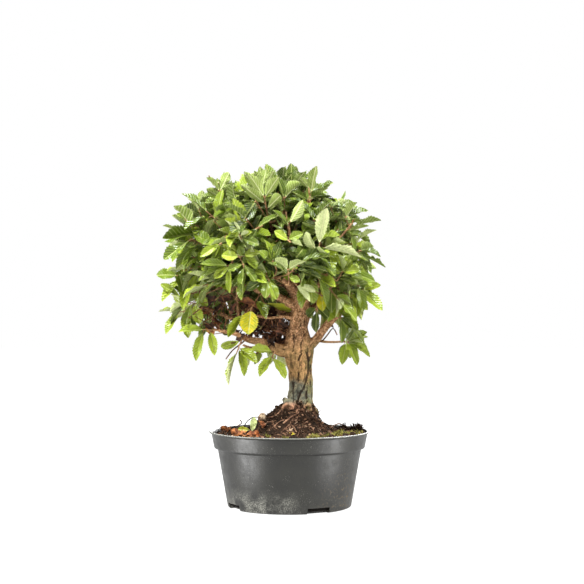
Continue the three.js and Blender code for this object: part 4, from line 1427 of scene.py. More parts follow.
def packed_rings(line, radii):
    """The corners of the three-sided twig along a line."""
    corners, side = [], None
    for i, at in enumerate(line):
        along = unit(line[min(len(line) - 1, i + 1)] - line[max(0, i - 1)])
        guide = side if side is not None else (UP if abs(along[2]) < 0.9 else vec(1, 0, 0))
        side = unit(guide - np.dot(guide, along) * along)
        other = np.cross(along, side)
        for k in range(3):
            angle = 2 * pi * k / 3
            corners.append(at + radii[i] * (side * cos(angle) + other * sin(angle)))
    return corners


print("a twig has", len(packed_rings([UP, 2 * UP], TWIG_R)), "corners on two rings")

# %% [markdown]
# ## Finding what is packed
# A twig leaves the limb at one of its nearest buds, and a leaf may have bent aside to clear its
# neighbours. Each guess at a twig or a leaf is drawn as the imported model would, and its corners are
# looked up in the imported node. The guess whose corners are there is the right one.

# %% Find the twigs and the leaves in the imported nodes
BUDS_TRIED = 24
NEAR_ENOUGH = 0.03
LEAF_CORNERS_NEEDED = 5
TWIG_CORNERS_NEEDED = 4


def there(finder, corners):
    """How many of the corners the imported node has."""
    return sum(finder.find(c)[2] < NEAR_ENOUGH for c in corners)


def reaches(points, start):
    """How far a twig reaches to its start from each of the points. Downward counts for more."""
    return [norm(p - start) + 0.5 * max(0, p[2] - start[2]) for p in points]


buds = bud_points()
packed_twigs, packed_leaves = [], []
for i, place in enumerate(places):
    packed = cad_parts[f"spray_{i + 1:02d}"]
    finder = finder_of([v.co / MM for v in packed.data.vertices])
    start = place[0]
    cost = reaches(buds, start)
    tried = []
    for k in sorted(range(len(buds)), key=cost.__getitem__)[:BUDS_TRIED]:
        shares = [0, 0.4, 0.75] if norm(buds[k] - start) > TWIG_BENDS_FROM else [0]
        radii = [lerp(TWIG_R[0], TWIG_R[1], s) for s in shares] + list(TWIG_R[1:])
        rings = packed_rings(twig_line(buds[k], place, shares), radii)
        tried.append((there(finder, rings), -len(tried), k))
    packed_twigs.append(buds[max(tried)[2]])
    for leaf in place[2]:
        packed_leaves.append((i, *shown_leaf(place, leaf), leaf[4], sum(leaf[5:])))
    for k in range(1 if place[2] else len(LEAF_PLACES)):
        for change in range(CHANGES):
            lie, length, width = drawn_leaf(place, i, k, change)
            if there(finder, packed_corners(lie, length, width)) >= LEAF_CORNERS_NEEDED:
                packed_leaves.append((i, lie, length, width, chance(i, k, 21), 0))
                break
    if max(tried)[0] < TWIG_CORNERS_NEEDED:
        print("few corners of twig", i + 1, "found:", max(tried)[0])
print(len(packed_leaves), "leaves found on", len(packed_twigs), "twigs")

# %% [markdown]
# ## The leaves that the photo shows one by one
# On the front of the head many leaves can be told apart. Their shoots are read off the photo: a place is
# given in its pixels, and one pixel is one millimetre on the plane of the trunk. How far out a shoot stands
# isn't seen, so it stands as far out as the head's rounded form is there. A leaf is given by its share of
# the shoot, its tip, how far the tip comes forward, its width, its roll, its age and, for a few, how far it
# has turned. At roll 0 its upper side looks at the viewer, at 90 up, and at 180 the under side shows.

# %% List the shoots read off the photo
SHOWN_SHOOTS = [
    # out, start, end, leaves
    (0.8, (220, 206), (220, 192), [(1, 208, 177, 0, 10, 125, 0.6), (1, 229, 173, -2, 12, 165, 0.55),
     (0.6, 207, 188, 3, 10, 150, 0.5), (0.4, 237, 186, -3, 9, 125, 0.65), (0.2, 205, 202, 3, 10, 60, 0.7),
     (0.1, 232, 200, 4, 11, 40, 0.6)]),
    (0.85, (206, 224), (199, 211), [(0.7, 192, 194, 2, 13, 150, 0.6), (1, 203, 191, 4, 10, 175, 0.4),
     (1, 208, 194, 0, 9, 120, 0.8), (0.5, 181, 208, 0, 9, 60, 0.85), (0.2, 216, 208, 3, 10, 40, 0.7)]),
    (0.85, (214, 244), (193, 229), [(1, 177, 204, 4, 15, 130, 0.65), (0.8, 171, 218, -4, 9, 70, 0.85),
     (0.6, 177, 227, 0, 9, 60, 0.8), (0.7, 163, 238, 6, 13, 25, 0.75), (0.4, 215, 215, 8, 12, 160, 0.35),
     (0.3, 226, 217, 6, 9, 50, 0.7), (0.1, 222, 230, 6, 10, 30, 0.75)]),
    (0.85, (212, 250), (192, 239), [(1, 164, 259, 3, 14, 30, 0.62), (0.7, 182, 271, 4, 10, 40, 0.5),
     (0.8, 175, 268, 0, 8, 30, 0.55), (0.4, 188, 252, 6, 9, 40, 0.5), (0.5, 186, 246, 6, 8, 30, 0.75),
     (0.2, 200, 262, 5, 10, 20, 0.3)]),
    (0.88, (264, 214), (256, 201), [(1, 243, 220, 8, 18, 12, 0.95), (0.7, 236, 227, 6, 10, 35, 0.9),
     (0.4, 236, 200, 2, 9, 60, 0.8), (0.1, 254, 230, 6, 10, 45, 0.85)]),
    (0.6, (262, 206), (262, 190), [(1, 256, 171, 0, 10, 150, 0.6), (1, 266, 170, 0, 10, 170, 0.5),
     (0.7, 273, 171, 2, 12, 165, 0.45), (0.5, 245, 172, 0, 12, 165, 0.65),
     (0.3, 233, 191, 4, 9, 120, 0.4), (0.2, 241, 184, 4, 9, 160, 0.35)]),
    (0.8, (285, 214), (284, 199), [(1, 278, 175, 0, 10, 20, 0.9), (1, 300, 182, 4, 9, 130, 0.5),
     (0.7, 286, 178, -2, 9, 30, 0.95), (0.4, 294, 206, 6, 9, 40, 0.8)]),
    (0.5, (296, 200), (293, 184), [(0.8, 304, 171, 0, 12, 165, 0.75), (0.6, 282, 182, 2, 9, 30, 0.8)]),
    (0.75, (310, 205), (309, 185), [(0.2, 327, 187, 3, 10, 130, 0.45), (0.5, 334, 185, -2, 8, 70, 0.85),
     (0.3, 332, 195, -2, 8, 70, 0.85), (0.2, 293, 191, 2, 9, 25, 0.9), (0.1, 322, 206, 5, 10, 45, 0.7),
     (0.8, 300, 178, 2, 10, 150, 0.5)]),
    (0.95, (320, 236), (315, 222), [(1, 300, 201, 2, 11, 55, 0.9), (0.6, 303, 222, 4, 10, 30, 0.85),
     (0.3, 300, 236, 3, 10, 30, 0.8)]),
    (0.7, (336, 222), (330, 207), [(1, 349, 205, -2, 8, 70, 0.75), (0.9, 345, 201, -4, 10, 150, 0.35),
     (0.6, 340, 212, 3, 11, 30, 0.8), (0.9, 324, 198, 2, 9, 130, 0.6), (0.3, 350, 220, 3, 9, 130, 0.35),
     (0.2, 322, 220, 3, 9, 40, 0.75)]),
    (0.8, (339, 240), (352, 224), [(0.2, 342, 221, 5, 11, 15, 0.95), (0.6, 369, 228, 0, 10, 110, 0.5),
     (0.4, 361, 234, 2, 9, 50, 0.65), (0.3, 330, 232, 4, 9, 40, 0.6),
     (1, 354, 219, 0, 5, 100, 0.3, 0.85)]),
    (0.7, (350, 230), (345, 217), [(0.8, 366, 206, -3, 11, 60, 0.8), (0.9, 356, 202, 3, 10, 100, 0.65),
     (0.6, 334, 209, 4, 9, 40, 0.7), (0.4, 362, 219, 4, 10, 130, 0.5)]),
    (0.7, (348, 260), (359, 251), [(1, 381, 252, 0, 10, 70, 0.85), (1, 373, 246, -3, 10, 110, 0.7),
     (0.8, 386, 266, 3, 10, 75, 0.75), (0.6, 374, 269, 4, 10, 65, 0.65), (0.7, 368, 259, 5, 11, 45, 0.65),
     (0.5, 352, 234, 3, 10, 50, 0.5), (0.2, 338, 248, 4, 10, 40, 0.7)]),
    (0.9, (337, 281), (342, 272), [(1, 341, 254, 4, 8, 100, 0.3), (1, 359, 269, 6, 14, 35, 0.12),
     (0.8, 330, 267, 4, 12, 35, 0.2), (0.6, 363, 277, 0, 11, 35, 0.6), (0.8, 352, 260, 3, 10, 25, 0.2),
     (0.3, 356, 283, 3, 10, 30, 0.5)]),
    (0.8, (340, 272), (359, 286), [(0.9, 364, 311, 0, 13, 25, 0.5), (0.7, 345, 304, 4, 11, 50, 0.5),
     (0.5, 361, 299, -4, 10, 15, 0.85), (0.4, 342, 292, 4, 10, 35, 0.55)]),
    (0.8, (329, 288), (337, 298), [(1, 357, 320, 3, 14, 40, 0.35), (0.9, 342, 309, 4, 11, 160, 0.05),
     (0.3, 331, 312, 5, 12, 8, 0.75), (0.2, 318, 277, 3, 9, 60, 0.6), (0.7, 352, 306, -3, 11, 40, 0.45),
     (0.1, 341, 283, 4, 10, 40, 0.6)]),
    (0.45, (316, 296), (317, 310), [(1, 315, 332, 2, 11, 15, 0.95), (0.8, 307, 317, -3, 10, 30, 0.9),
     (0.7, 328, 318, -2, 10, 20, 0.9)]),
    (0.6, (336, 306), (340, 318), [(0.4, 359, 331, 3, 13, 25, 0.3), (1, 343, 343, 0, 10, 30, 0.6),
     (0.8, 363, 332, -3, 10, 110, 0.5), (0.9, 367, 341, -2, 9, 60, 0.6), (0.9, 353, 327, 2, 9, 30, 0.7)]),
    (0.98, (289, 282), (288, 270), [(1, 276, 257, 2, 13, 145, 0.3), (1, 304, 258, 2, 14, 140, 0.3),
     (0.6, 270, 260, 3, 10, 50, 0.5), (0.4, 300, 281, 2, 9, 20, 0.3)]),
    (0.92, (276, 268), (273, 262), [(1, 271, 245, 0, 9, 20, 0.75), (0.8, 260, 250, 2, 10, 20, 0.4),
     (0.9, 266, 239, 2, 8, 20, 0.2), (0.9, 280, 241, 2, 9, 15, 0.9)]),
    (0.95, (292, 271), (299, 262), [(1, 329, 254, -2, 11, 45, 0.6), (0.6, 328, 269, 0, 12, 50, 0.95),
     (0.8, 330, 249, -4, 10, 30, 0.9), (0.3, 322, 277, -3, 10, 30, 0.95)]),
    (0.88, (266, 274), (269, 280), [(1, 277, 299, 3, 10, 20, 0.3), (0.9, 265, 298, 2, 11, 20, 0.4),
     (0.6, 246, 290, -2, 11, 25, 0.95), (0.4, 255, 270, 3, 10, 35, 0.3)]),
    (0.8, (288, 276), (296, 285), [(1, 316, 291, 3, 8, 160, 0.1), (0.9, 311, 301, 4, 8, 160, 0.1),
     (0.5, 284, 271, 4, 12, 15, 0.25)]),
    (0.92, (248, 256), (240, 257), [(1, 222, 255, 3, 12, 10, 0.02), (0.6, 259, 251, 4, 10, 35, 0.2, 0.15),
     (0.5, 258, 268, 4, 10, 35, 0.3), (0.8, 239, 246, 3, 9, 30, 0.7)]),
    (0.9, (240, 258), (244, 265), [(0.9, 228, 270, 3, 10, 40, 0.5), (1, 241, 293, 4, 10, 30, 0.65),
     (0.7, 256, 281, 3, 11, 25, 0.6), (0.4, 259, 262, 3, 9, 30, 0.4)]),
    (0.88, (234, 258), (230, 266), [(1, 201, 262, 4, 11, 35, 0.6), (0.9, 203, 275, 3, 10, 40, 0.6),
     (1, 214, 278, 3, 10, 20, 0.02), (1, 229, 293, 3, 8, 15, 0.1), (0.5, 244, 273, -2, 10, 30, 0.5)]),
    (0.88, (226, 236), (221, 244), [(0.9, 200, 256, 4, 11, 15, 0.15), (1, 212, 258, 4, 8, 20, 0.25),
     (1, 236, 250, 4, 11, 15, 0.15), (1, 222, 259, 4, 9, 25, 0.4), (0.6, 203, 243, 3, 10, 30, 0.5)]),
    (0.97, (244, 244), (240, 236), [(1, 235, 221, 3, 5, 150, 0.02), (1, 249, 231, 3, 6, 150, 0.02),
     (0.8, 259, 246, 3, 10, 30, 0.75), (0.5, 226, 236, 3, 9, 60, 0.6)]),
    (0.95, (262, 226), (256, 229), [(0.9, 277, 214, 3, 11, 45, 0.8), (0.5, 247, 243, -2, 10, 25, 0.85)]),
    (0.97, (279, 234), (290, 242), [(0.9, 275, 231, 3, 10, 20, 0.05), (0.7, 276, 222, 0, 9, 60, 0.95),
     (0.8, 303, 232, 0, 10, 25, 0.4), (1, 304, 244, 3, 9, 150, 0.3)]),
    (0.75, (197, 292), (182, 297), [(0.9, 181, 274, 4, 15, 20, 0.5), (1, 161, 284, 0, 8, 25, 0.3),
     (0.8, 169, 283, -3, 7, 50, 0.85), (0.5, 214, 280, 5, 10, 140, 0.35), (0.5, 196, 275, 3, 10, 15, 0.1),
     (0.3, 208, 305, 3, 11, 20, 0.08), (0.1, 200, 262, 2, 7, 30, 0.2)]),
    (0.72, (200, 304), (186, 302), [(1, 170, 312, 3, 11, 165, 0.1), (0.8, 168, 322, -3, 8, 45, 0.75),
     (0.6, 186, 324, 2, 10, 20, 0.45), (0.4, 200, 323, 5, 14, 8, 0.02, 0.12),
     (0.5, 194, 332, -2, 8, 25, 0.8)]),
    (0.4, (214, 316), (204, 322), [(0.9, 214, 335, 2, 10, 15, 0.3, 0.78),
     (0.4, 229, 334, -3, 12, 20, 0.98), (0.8, 202, 336, -1, 9, 30, 0.7), (1, 198, 352, 0, 6, 60, 0.5)]),
    (0.35, (232, 294), (238, 302), [(0.8, 258, 307, 3, 11, 30, 0.3, 0.86),
     (0.5, 218, 300, 2, 9, 30, 0.3, 0.97), (0.3, 250, 292, 2, 9, 50, 0.4, 0.97),
     (0.9, 230, 316, 0, 9, 40, 0.3, 0.95)]),
    # This leaf is made young and a little turned so that it shows light yellow-green though the head shades
    # it: painted light.
    (0.42, (252, 306), (246, 313), [(1, 228, 337, 2, 9, 20, 0, 0.16)]),
    (0.3, (262, 298), (264, 303), [(1, 268, 316, -22, 8, 20, 0.6), (0.6, 252, 297, -22, 9, 20, 0.95),
     (0.9, 288, 312, -28, 7, 20, 0.4, 0.3)]),
    (0.3, (262, 345), (250, 347), [(0.8, 239, 354, 0, 8, 45, 0.15), (0.9, 246, 366, 2, 8, 150, 0.1),
     (0.1, 274, 359, 0, 10, 130, 0.08), (0.5, 257, 364, 2, 10, 60, 0.1)]),
    (0.3, (276, 348), (277, 354), [(1, 269, 364, -1, 11, 155, 0.05), (0.8, 280, 372, 1, 13, 140, 0)]),
    (0.1, (340, 342), (347, 342), [(1, 350, 358, 1, 7, 160, 0.2), (0.8, 363, 339, 3, 10, 130, 0.2),
     (0.9, 353, 326, -2, 11, 20, 0.6), (1, 358, 355, 2, 9, 30, 0.45), (0.9, 369, 346, 0, 10, 60, 0.3),
     (0.7, 340, 359, 0, 9, 30, 0.55), (1, 366, 331, 4, 11, 40, 0.4)]),
]

print(len(SHOWN_SHOOTS), "shoots are listed")

# %% [markdown]
# ## From pixels to places
# A pixel is a line of sight. With a depth along it, it is one point, so what is read off the photo
# shows at the same pixel again.

# %% Place what was read off
PIXEL_OF_X0 = 289.5
PIXEL_OF_Z0 = 505
SLENDER = 0.82
SHOOT_RISES = 9
FOREMOST = 96


def head_depth(x, z):
    """How far forward the head's rounded form reaches here."""
    inside = 1 - ((x - CROWN[0]) / CROWN_HALF[0]) ** 2 - ((z - CROWN[2]) / CROWN_HALF[2]) ** 2
    return CROWN_HALF[1] * sqrt(max(0.03, inside))


def off_photo(px, py, depth):
    """The point at this depth that the photo shows at this pixel."""
    x, z = px - PIXEL_OF_X0, PIXEL_OF_Z0 - py
    closer = (CAMERA_AT[1] / MM + depth) / (CAMERA_AT[1] / MM)
    middle_x, middle_z = CAMERA_AT[0] / MM, CAMERA_AT[2] / MM
    return vec(middle_x + (x - middle_x) * closer, -depth, middle_z + (z - middle_z) * closer)


def shoot_off_photo(out, start, end, leaves):
    depth = out * head_depth(end[0] - PIXEL_OF_X0, PIXEL_OF_Z0 - end[1])
    place = off_photo(*start, depth - SHOOT_RISES), off_photo(*end, depth)
    shown_leaves = []
    for share, px, py, forward, width, roll, age, *turned_far in leaves:
        base = lerp(*place, share)
        tip = off_photo(px, py, min(FOREMOST, -base[1] + forward))
        along = unit(tip - base)
        level = vec(0, -1, 0)
        upward = unit(np.cross(along, level))
        upward = upward if upward[2] > 0 or abs(upward[2]) < 0.15 and upward[0] > 0 else -upward
        turn = radians(roll)
        lie = laid(base, along, level * cos(turn) + upward * sin(turn))
        length = norm(tip - base) - PETIOLE
        shown_leaves.append((lie, length, width * SLENDER, age, sum(turned_far)))
    return place, shown_leaves


read_off = [shoot_off_photo(*shoot) for shoot in SHOWN_SHOOTS]
print(len(read_off), "shoots with", sum(len(leaves) for _, leaves in read_off), "leaves read off the photo")

# %% [markdown]
# ## More shoots for a full head
# The real head is so full that hardly any light comes through it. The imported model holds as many
# shoots as its solids can carry. The others grow here by the same rule. Each twig springs from the
# nearest limb or older twig and is handed to the nearest packed shoot, so the head stays one piece
# per packed shoot.

# %% List the stems that show
LAYERS = [
    # shoots all round, key of their draws, where they start and end between middle and edge, age, higher
    # inward as painted shade
    (135, 300, 0.54, 0.83, 0.6),
    (120, 500, 0.42, 0.68, 0.95),
    (60, 700, 0.30, 0.54, 1.1),
]
SHOWN_STEMS = [
    # how far out, thickness and pixels
    (0.92, 0.9, [(292, 262), (291, 245), (288, 228), (286, 212)]),
    (0.9, 0.8, [(267, 216), (266, 206), (264, 194)]),
    (0.86, 0.9, [(207, 240), (199, 234), (190, 226), (178, 206)]),
    (0.86, 0.8, [(208, 238), (197, 241), (188, 241)]), (0.9, 1, [(310, 204), (309, 196), (309, 184)]),
    (0.9, 0.9, [(337, 241), (344, 233), (351, 224)]), (0.95, 0.9, [(312, 256), (317, 252), (324, 248)]),
    (0.9, 0.8, [(304, 262), (310, 259), (317, 257)]), (0.8, 0.8, [(222, 186), (214, 182), (209, 176)]),
    (0.9, 0.8, [(232, 262), (238, 256), (243, 250)]), (0.7, 0.8, [(330, 288), (345, 286), (356, 284)]),
    (0.7, 0.8, [(318, 284), (328, 280), (340, 277)]), (0.8, 0.7, [(322, 296), (330, 288), (338, 284)]),
    (0.75, 0.7, [(206, 212), (198, 206), (194, 198)]),
]
print(sum(row[0] for row in LAYERS), "more shoots all round and", len(SHOWN_STEMS), "stems")

# %% [markdown]
# ## Where leaves may not grow
# The head has an edge, and windows through which trunk and limbs show. A leaf that grows by rule has to
# respect both, so its root, middle and tip are looked up in the photo's pixels. Where the photo shows fresh
# green, a leaf is made younger. At the top, where the lamp above lights the head most, leaves are made
# older and darker instead: painted shade.

# %% Ask whether a leaf fits
# The photo's own outline of the head: a row, and where the head starts and ends on it.
OUTLINE = [
    (166, 285, 296), (172, 244, 310), (178, 212, 320), (184, 212, 333), (190, 207, 327),
    (196, 190, 330), (202, 188, 357), (208, 178, 362), (214, 172, 362), (226, 176, 366),
    (238, 164, 357), (250, 168, 376), (262, 172, 378), (274, 158, 373), (286, 160, 376),
    (298, 162, 376), (310, 160, 374), (322, 172, 360), (334, 190, 366), (346, 192, 366),
]
# Where the photo looks into the head and no leaf hides the wood: left, top, right, bottom.
OPENINGS = [(196, 300, 332, 360), (204, 286, 320, 301), (283, 274, 300, 287), (252, 226, 286, 240)]
# Wood, and a yellow leaf, that the photo shows: a line from pixel to pixel and the room beside it.
WOOD_IN_SIGHT = [
    ((240, 296), (252, 303), 6), ((247, 313), (256, 329), 11), ((252, 292), (300, 313), 10),
    ((288, 284), (296, 300), 8), ((263, 318), (290, 319), 7), ((320, 343), (343, 314), 7),
    ((304, 300), (304, 340), 8),
]
YOUNG_AND_SHADED_SPOTS = [
    # pixel, how wide, how much younger; the last, at the top, makes leaves older and darker as painted
    # shade
    ((208, 256), 42, 0.3), ((346, 268), 22, 0.35), ((200, 300), 30, 0.2), ((232, 250), 20, 0.2),
    ((262, 360), 28, 0.45), ((345, 302), 30, 0.35), ((196, 330), 24, 0.3), ((358, 340), 24, 0.3),
    ((172, 300), 24, 0.25), ((290, 180), 42, -0.35),
]
INSIDE_BOX = 3


def on_photo(at):
    """The pixel of the photo where a point shows."""
    far = (at[1] - CAMERA_AT[1] / MM) / (-CAMERA_AT[1] / MM)
    middle_x, middle_z = CAMERA_AT[0] / MM, CAMERA_AT[2] / MM
    return (PIXEL_OF_X0 + middle_x + (at[0] - middle_x) / far,
            PIXEL_OF_Z0 - middle_z - (at[2] - middle_z) / far)


def leaf_points(lie, length):
    """A leaf's root, middle and tip."""
    return [lie[0] + lie[1] * reach for reach in (0, PETIOLE + 0.5 * length, PETIOLE + length)]


def in_outline(pixel):
    rows, lefts, rights = zip(*OUTLINE)
    left, right = np.interp(pixel[1], rows, lefts), np.interp(pixel[1], rows, rights)
    return rows[0] < pixel[1] < rows[-1] and left < pixel[0] < right


def in_opening(at):
    px, py = on_photo(at)
    return at[1] < 8 and any(l < px < r and t < py < b for l, t, r, b in OPENINGS)


def hides_wood(lie, length):
    """Whether a leaf's middle hangs before wood that the photo shows."""
    at = leaf_points(lie, length)[1]
    spot = np.array(on_photo(at))
    for start, end, room in WOOD_IN_SIGHT:
        start, way = np.array(start, float), np.array(end, float) - start
        share = np.clip(np.dot(spot - start, way) / np.dot(way, way), 0, 1)
        if at[1] < 0 and norm(spot - start - share * way) < room:
            return True
    return False


def leaf_fits(lie, length):
    """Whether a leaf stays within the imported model's bounds, the photo's outline and the head."""
    spots = leaf_points(lie, length)
    low, high = vec(*cad_low) / MM + INSIDE_BOX, vec(*cad_high) / MM - INSIDE_BOX
    boxed = all(np.all(at > low) and np.all(at < high) for at in spots)
    return boxed and all(in_outline(on_photo(at)) and not in_opening(at) for at in spots)


def age_at(at, age):
    """A leaf's age, younger where the photo shows fresh green, and older and darker at the top as painted
    shade.
    """
    px, py = on_photo(at)
    for (x, y), wide, younger in YOUNG_AND_SHADED_SPOTS:
        age -= younger * exp(-((px - x) ** 2 + (py - y) ** 2) / wide ** 2)
    return min(1, max(0, age))


print("the head's edge is given on", len(OUTLINE), "rows of pixels")

# %% [markdown]
# ## Keeping account
# Leaves need room, so each new one is measured against all those before it. None may hang close before one
# that was listed, or it would hide it. A small class keeps the lists together.

# %% Keep account of twigs and leaves
ROOM = 4.5
CLEAR_PIXELS = 10.5
CLEAR_BEHIND = 3
TWIG_TAPER = (1.35, 0.6)


class Growth:
    """The twigs and leaves of the whole head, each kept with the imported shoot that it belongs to."""

    def __init__(self):
        self.twigs, self.leaves, self.middles, self.kept_clear = [], [], [], []

    def add_leaf(self, owner, lie, length, width, variant, age, turned_far):
        self.leaves.append((owner, lie, length, width, variant, age, turned_far))
        self.middles.append(leaf_points(lie, length)[1])

    def add_twig(self, owner, root, place, thick):
        """Grows a twig from a root to a shoot."""
        span = norm(root - place[0])
        shares = [0, 0.2, 0.4, 0.6, 0.8] if span > TWIG_BENDS_FROM else [0, 0.5]
        line = twig_line(root, place, shares)
        line.insert(-1, lerp(line[-2], line[-1], 0.5))
        radii = np.linspace(*TWIG_TAPER, len(line)) * thick
        self.twigs.append((owner, np.array([[*p, r] for p, r in zip(line, radii)])))

    def keep_last_clear(self):
        """From now on, no leaf by rule may hang close before the last one."""
        middle = self.middles[-1]
        self.kept_clear.append((*on_photo(middle), middle[1]))

    def has_room(self, lie, length):
        middle = leaf_points(lie, length)[1]
        gaps = norm(np.array(self.middles) - middle, axis=1)
        if gaps.min() < ROOM:
            return False
        px, py = on_photo(middle)
        return not any(middle[1] < y + CLEAR_BEHIND and hypot(px - x, py - z) < CLEAR_PIXELS
                       for x, z, y in self.kept_clear)


growth = Growth()
print("a leaf's middle keeps", ROOM, "mm from the others")

# %% [markdown]
# ## First the imported leaves
# The leaves found in the imported nodes come first, a little narrower than there, because their teeth add
# to them. One that hides wood in sight is left out, unless it was listed as a turned leaf.

# %% Dress the imported shoots
YOUNG_TWIG = 0.8
ANCHOR_R = 6

for owner, lie, length, width, age, turned_far in packed_leaves:
    index = len(growth.leaves)
    age = age_at(lie[0], age if places[owner][2] else 0.62 + 0.42 * wander(index, 34))
    if turned_far or not hides_wood(lie, length):
        width *= 1.1 if turned_far else 0.84
        growth.add_leaf(owner, lie, length, width, int(3 * chance(index, 30)), age, turned_far)
        if turned_far or places[owner][2]:
            growth.keep_last_clear()
anchors = [stop[:3] for stop in stops if stop[3] < ANCHOR_R]
for i, place in enumerate(places):
    growth.add_twig(i, packed_twigs[i], place, 1.0)
    anchors += [lerp(place[0], place[1], k / 2) for k in range(2)]
shoot_middles = np.array([lerp(a, b, 0.7) for a, b, _ in places])


def nearest_anchor(start):
    return anchors[int(np.argmin(reaches(anchors, start)))]


print(len(growth.leaves), "packed leaves are dressed")

# %% [markdown]
# ## Then what the photo shows
# The shoots read off the photo grow from the nearest limb or twig, and so do the bare stems that
# show between their leaves. All leaves placed here are kept clear from now on.

# %% Grow what was read off the photo
for place, shown_leaves in read_off:
    owner = nearest(shoot_middles, place[1])
    for lie, length, width, age, turned_far in shown_leaves:
        index = len(growth.leaves)
        growth.add_leaf(owner, lie, length, width, int(FRESH_VARIANTS * chance(index, 33)), age, turned_far)
        growth.keep_last_clear()
    growth.add_twig(owner, nearest_anchor(place[0]), place, YOUNG_TWIG)

for out, thick, pixels in SHOWN_STEMS:
    depth = out * head_depth(pixels[-1][0] - PIXEL_OF_X0, PIXEL_OF_Z0 - pixels[-1][1])
    line = [off_photo(*pixel, depth - 5 * k) for k, pixel in enumerate(pixels[::-1])][::-1]
    line.insert(0, nearest_anchor(line[0]))
    rows = smooth_route([[*at, thick * (1.3 - 0.15 * k)] for k, at in enumerate(line)], 4.0)
    growth.twigs.append((nearest(shoot_middles, line[-1]), rows))

print(len(growth.leaves), "leaves so far")

# %% [markdown]
# ## Then the rest of the head
# Three layers of shoots fill the head from its edge inward, older and deeper green inward: partly the
# colour of old leaves in the shade, partly painted shade. Where a leaf finds no room it tries other turns,
# and if none suits it stays away.

# %% Fill the head
SMALLER = 0.93
TILTED = 0.5
AGE_VARIES = 0.56

for total, seed, first, last, age in LAYERS:
    for i in range(total):
        place = round_place(i, total, seed, first, last)
        if place is None:
            continue
        owner = nearest(shoot_middles, place[1])
        shoot = seed + i
        grown = 0
        for k in range(len(LEAF_PLACES)):
            for change in range(CHANGES):
                lie, length, width = drawn_leaf(place, shoot, k, change)
                length, width = length * SMALLER, width * SLENDER
                lie = laid(lie[0], lie[1], lie[3] + TILTED * stray(95, shoot, k))
                fits = growth.has_room(lie, length) and leaf_fits(lie, length)
                if fits and not hides_wood(lie, length):
                    variant = int(FRESH_VARIANTS * chance(shoot, k, 31))
                    own_age = age_at(lie[0], age + AGE_VARIES * wander(shoot, k, 32))
                    growth.add_leaf(owner, lie, length, width, variant, own_age, 0)
                    grown += 1
                    break
        if grown:
            growth.add_twig(owner, nearest_anchor(place[0]), place, YOUNG_TWIG)
print(len(growth.twigs), "twigs and", len(growth.leaves), "leaves in all")

# %% [markdown]
# ## Dead wood inside the head
# Under a dense head the inner twigs die for want of light and stay on, brown and brittle, with a few curled
# leaves, and make the middle of the head dark: by the shade they cast, and by their colour, which is
# darkened as painted shade. Each grows from a limb, crooked, and thins to its end.

# %% Grow the dead twigs
DEAD_SPOTS = [
    # middle, how far round it, twigs, dead leaves
    ((-62, 2, 192), (30, 20, 12), 84, 20),
    ((-20, 6, 174), (17, 14, 9), 50, 26),
    ((-9, 9, 178), (9, 10, 9), 44, 26),
    ((16, 0, 228), (26, 22, 12), 44, 14),
    ((-12, -6, 262), (34, 34, 18), 40, 14),
]
DEAD_TWIG_R = 0.75
DEAD_TWIG_THINS = 0.09
DEAD_TWIG_PARTS = 5
limb_points = np.array([stop[:3] for stop in stops if 0.9 < stop[3] < 8])


def crooked(start, way, length, key):
    """A twig that wanders as it goes, as rows of x, y, z and radius."""
    rows = [[*start, DEAD_TWIG_R]]
    at = np.array(start)
    for k in range(1, DEAD_TWIG_PARTS + 1):
        way = unit(way + 0.38 * stray(61, key, k))
        at = at + way * length / DEAD_TWIG_PARTS
        rows.append([*at, DEAD_TWIG_R - DEAD_TWIG_THINS * k])
    return np.array(rows)


dead_twigs = []
for spot, (middle, half, twig_count, leaf_count) in enumerate(DEAD_SPOTS):
    for i in range(twig_count):
        key = 1000 * spot + i
        goal = vec(*middle) + vec(*half) * stray(64, key)
        start = limb_points[nearest(limb_points, goal)]
        reach = goal - start
        length = min(30, max(12, norm(reach) * 1.3))
        dead_twigs.append(crooked(start, unit(reach + 0.01 * UP), length, key))
    for i in range(leaf_count):
        key = 1000 * spot + 500 + i
        twig = dead_twigs[len(dead_twigs) - 1 - i % twig_count]
        base = twig[2 + i % 4][:3]
        lie = laid(base, unit(stray(67, key) - 0.3 * UP), stray(70, key))
        length, turned_far = 9 + 6 * chance(key, 73), 1.1 - 0.26 * chance(key, 74) ** 2
        owner = nearest(shoot_middles, base)
        growth.add_leaf(owner, lie, length, 5, FRESH_VARIANTS + i % 2, 0.5, turned_far)
print(len(dead_twigs), "dead twigs by rule")

# %% [markdown]
# ## Bare twigs in sight
# A dozen bare twigs stand out against the white ground, so they follow the photo. The first pixel of
# each lies on the limb or twig that it springs from.

# %% Add the twigs that show
SHOWN_TWIGS = [
    # depth, thickness and pixels
    (22, 0.6, [(240, 294), (230, 293), (222, 296), (214, 289)]),
    (22, 0.5, [(222, 296), (211, 301), (204, 303)]), (24, 0.7, [(222, 296), (225, 303), (228, 310)]),
    (14, 0.6, [(243, 318), (230, 306), (216, 310), (204, 307)]),
    (16, 1, [(250, 336), (242, 343), (233, 350), (226, 359)]),
    (12, 0.9, [(272, 344), (262, 350), (250, 357)]), (14, 1, [(247, 334), (239, 341), (231, 343)]),
    (14, 0.5, [(236, 334), (222, 333), (214, 334)]),
    (6, 0.9, [(322, 341), (328, 334), (333, 328), (337, 335)]),
    (3, 0.8, [(333, 327), (328, 318), (324, 314)]), (18, 0.7, [(205, 306), (196, 312), (189, 318)]),
    (-6, 0.8, [(283, 300), (288, 295), (290, 290)]),
]
JOINED_WITHIN = 14
for depth, thick, pixels in SHOWN_TWIGS:
    line = [off_photo(*pixel, depth) for pixel in pixels]
    root = limb_points[nearest(limb_points, line[0])]
    if norm(root - line[0]) < JOINED_WITHIN:
        line.insert(0, root)
    dead_twigs.append(smooth_route([[*at, thick * (1 - 0.1 * k)] for k, at in enumerate(line)], 4.0))
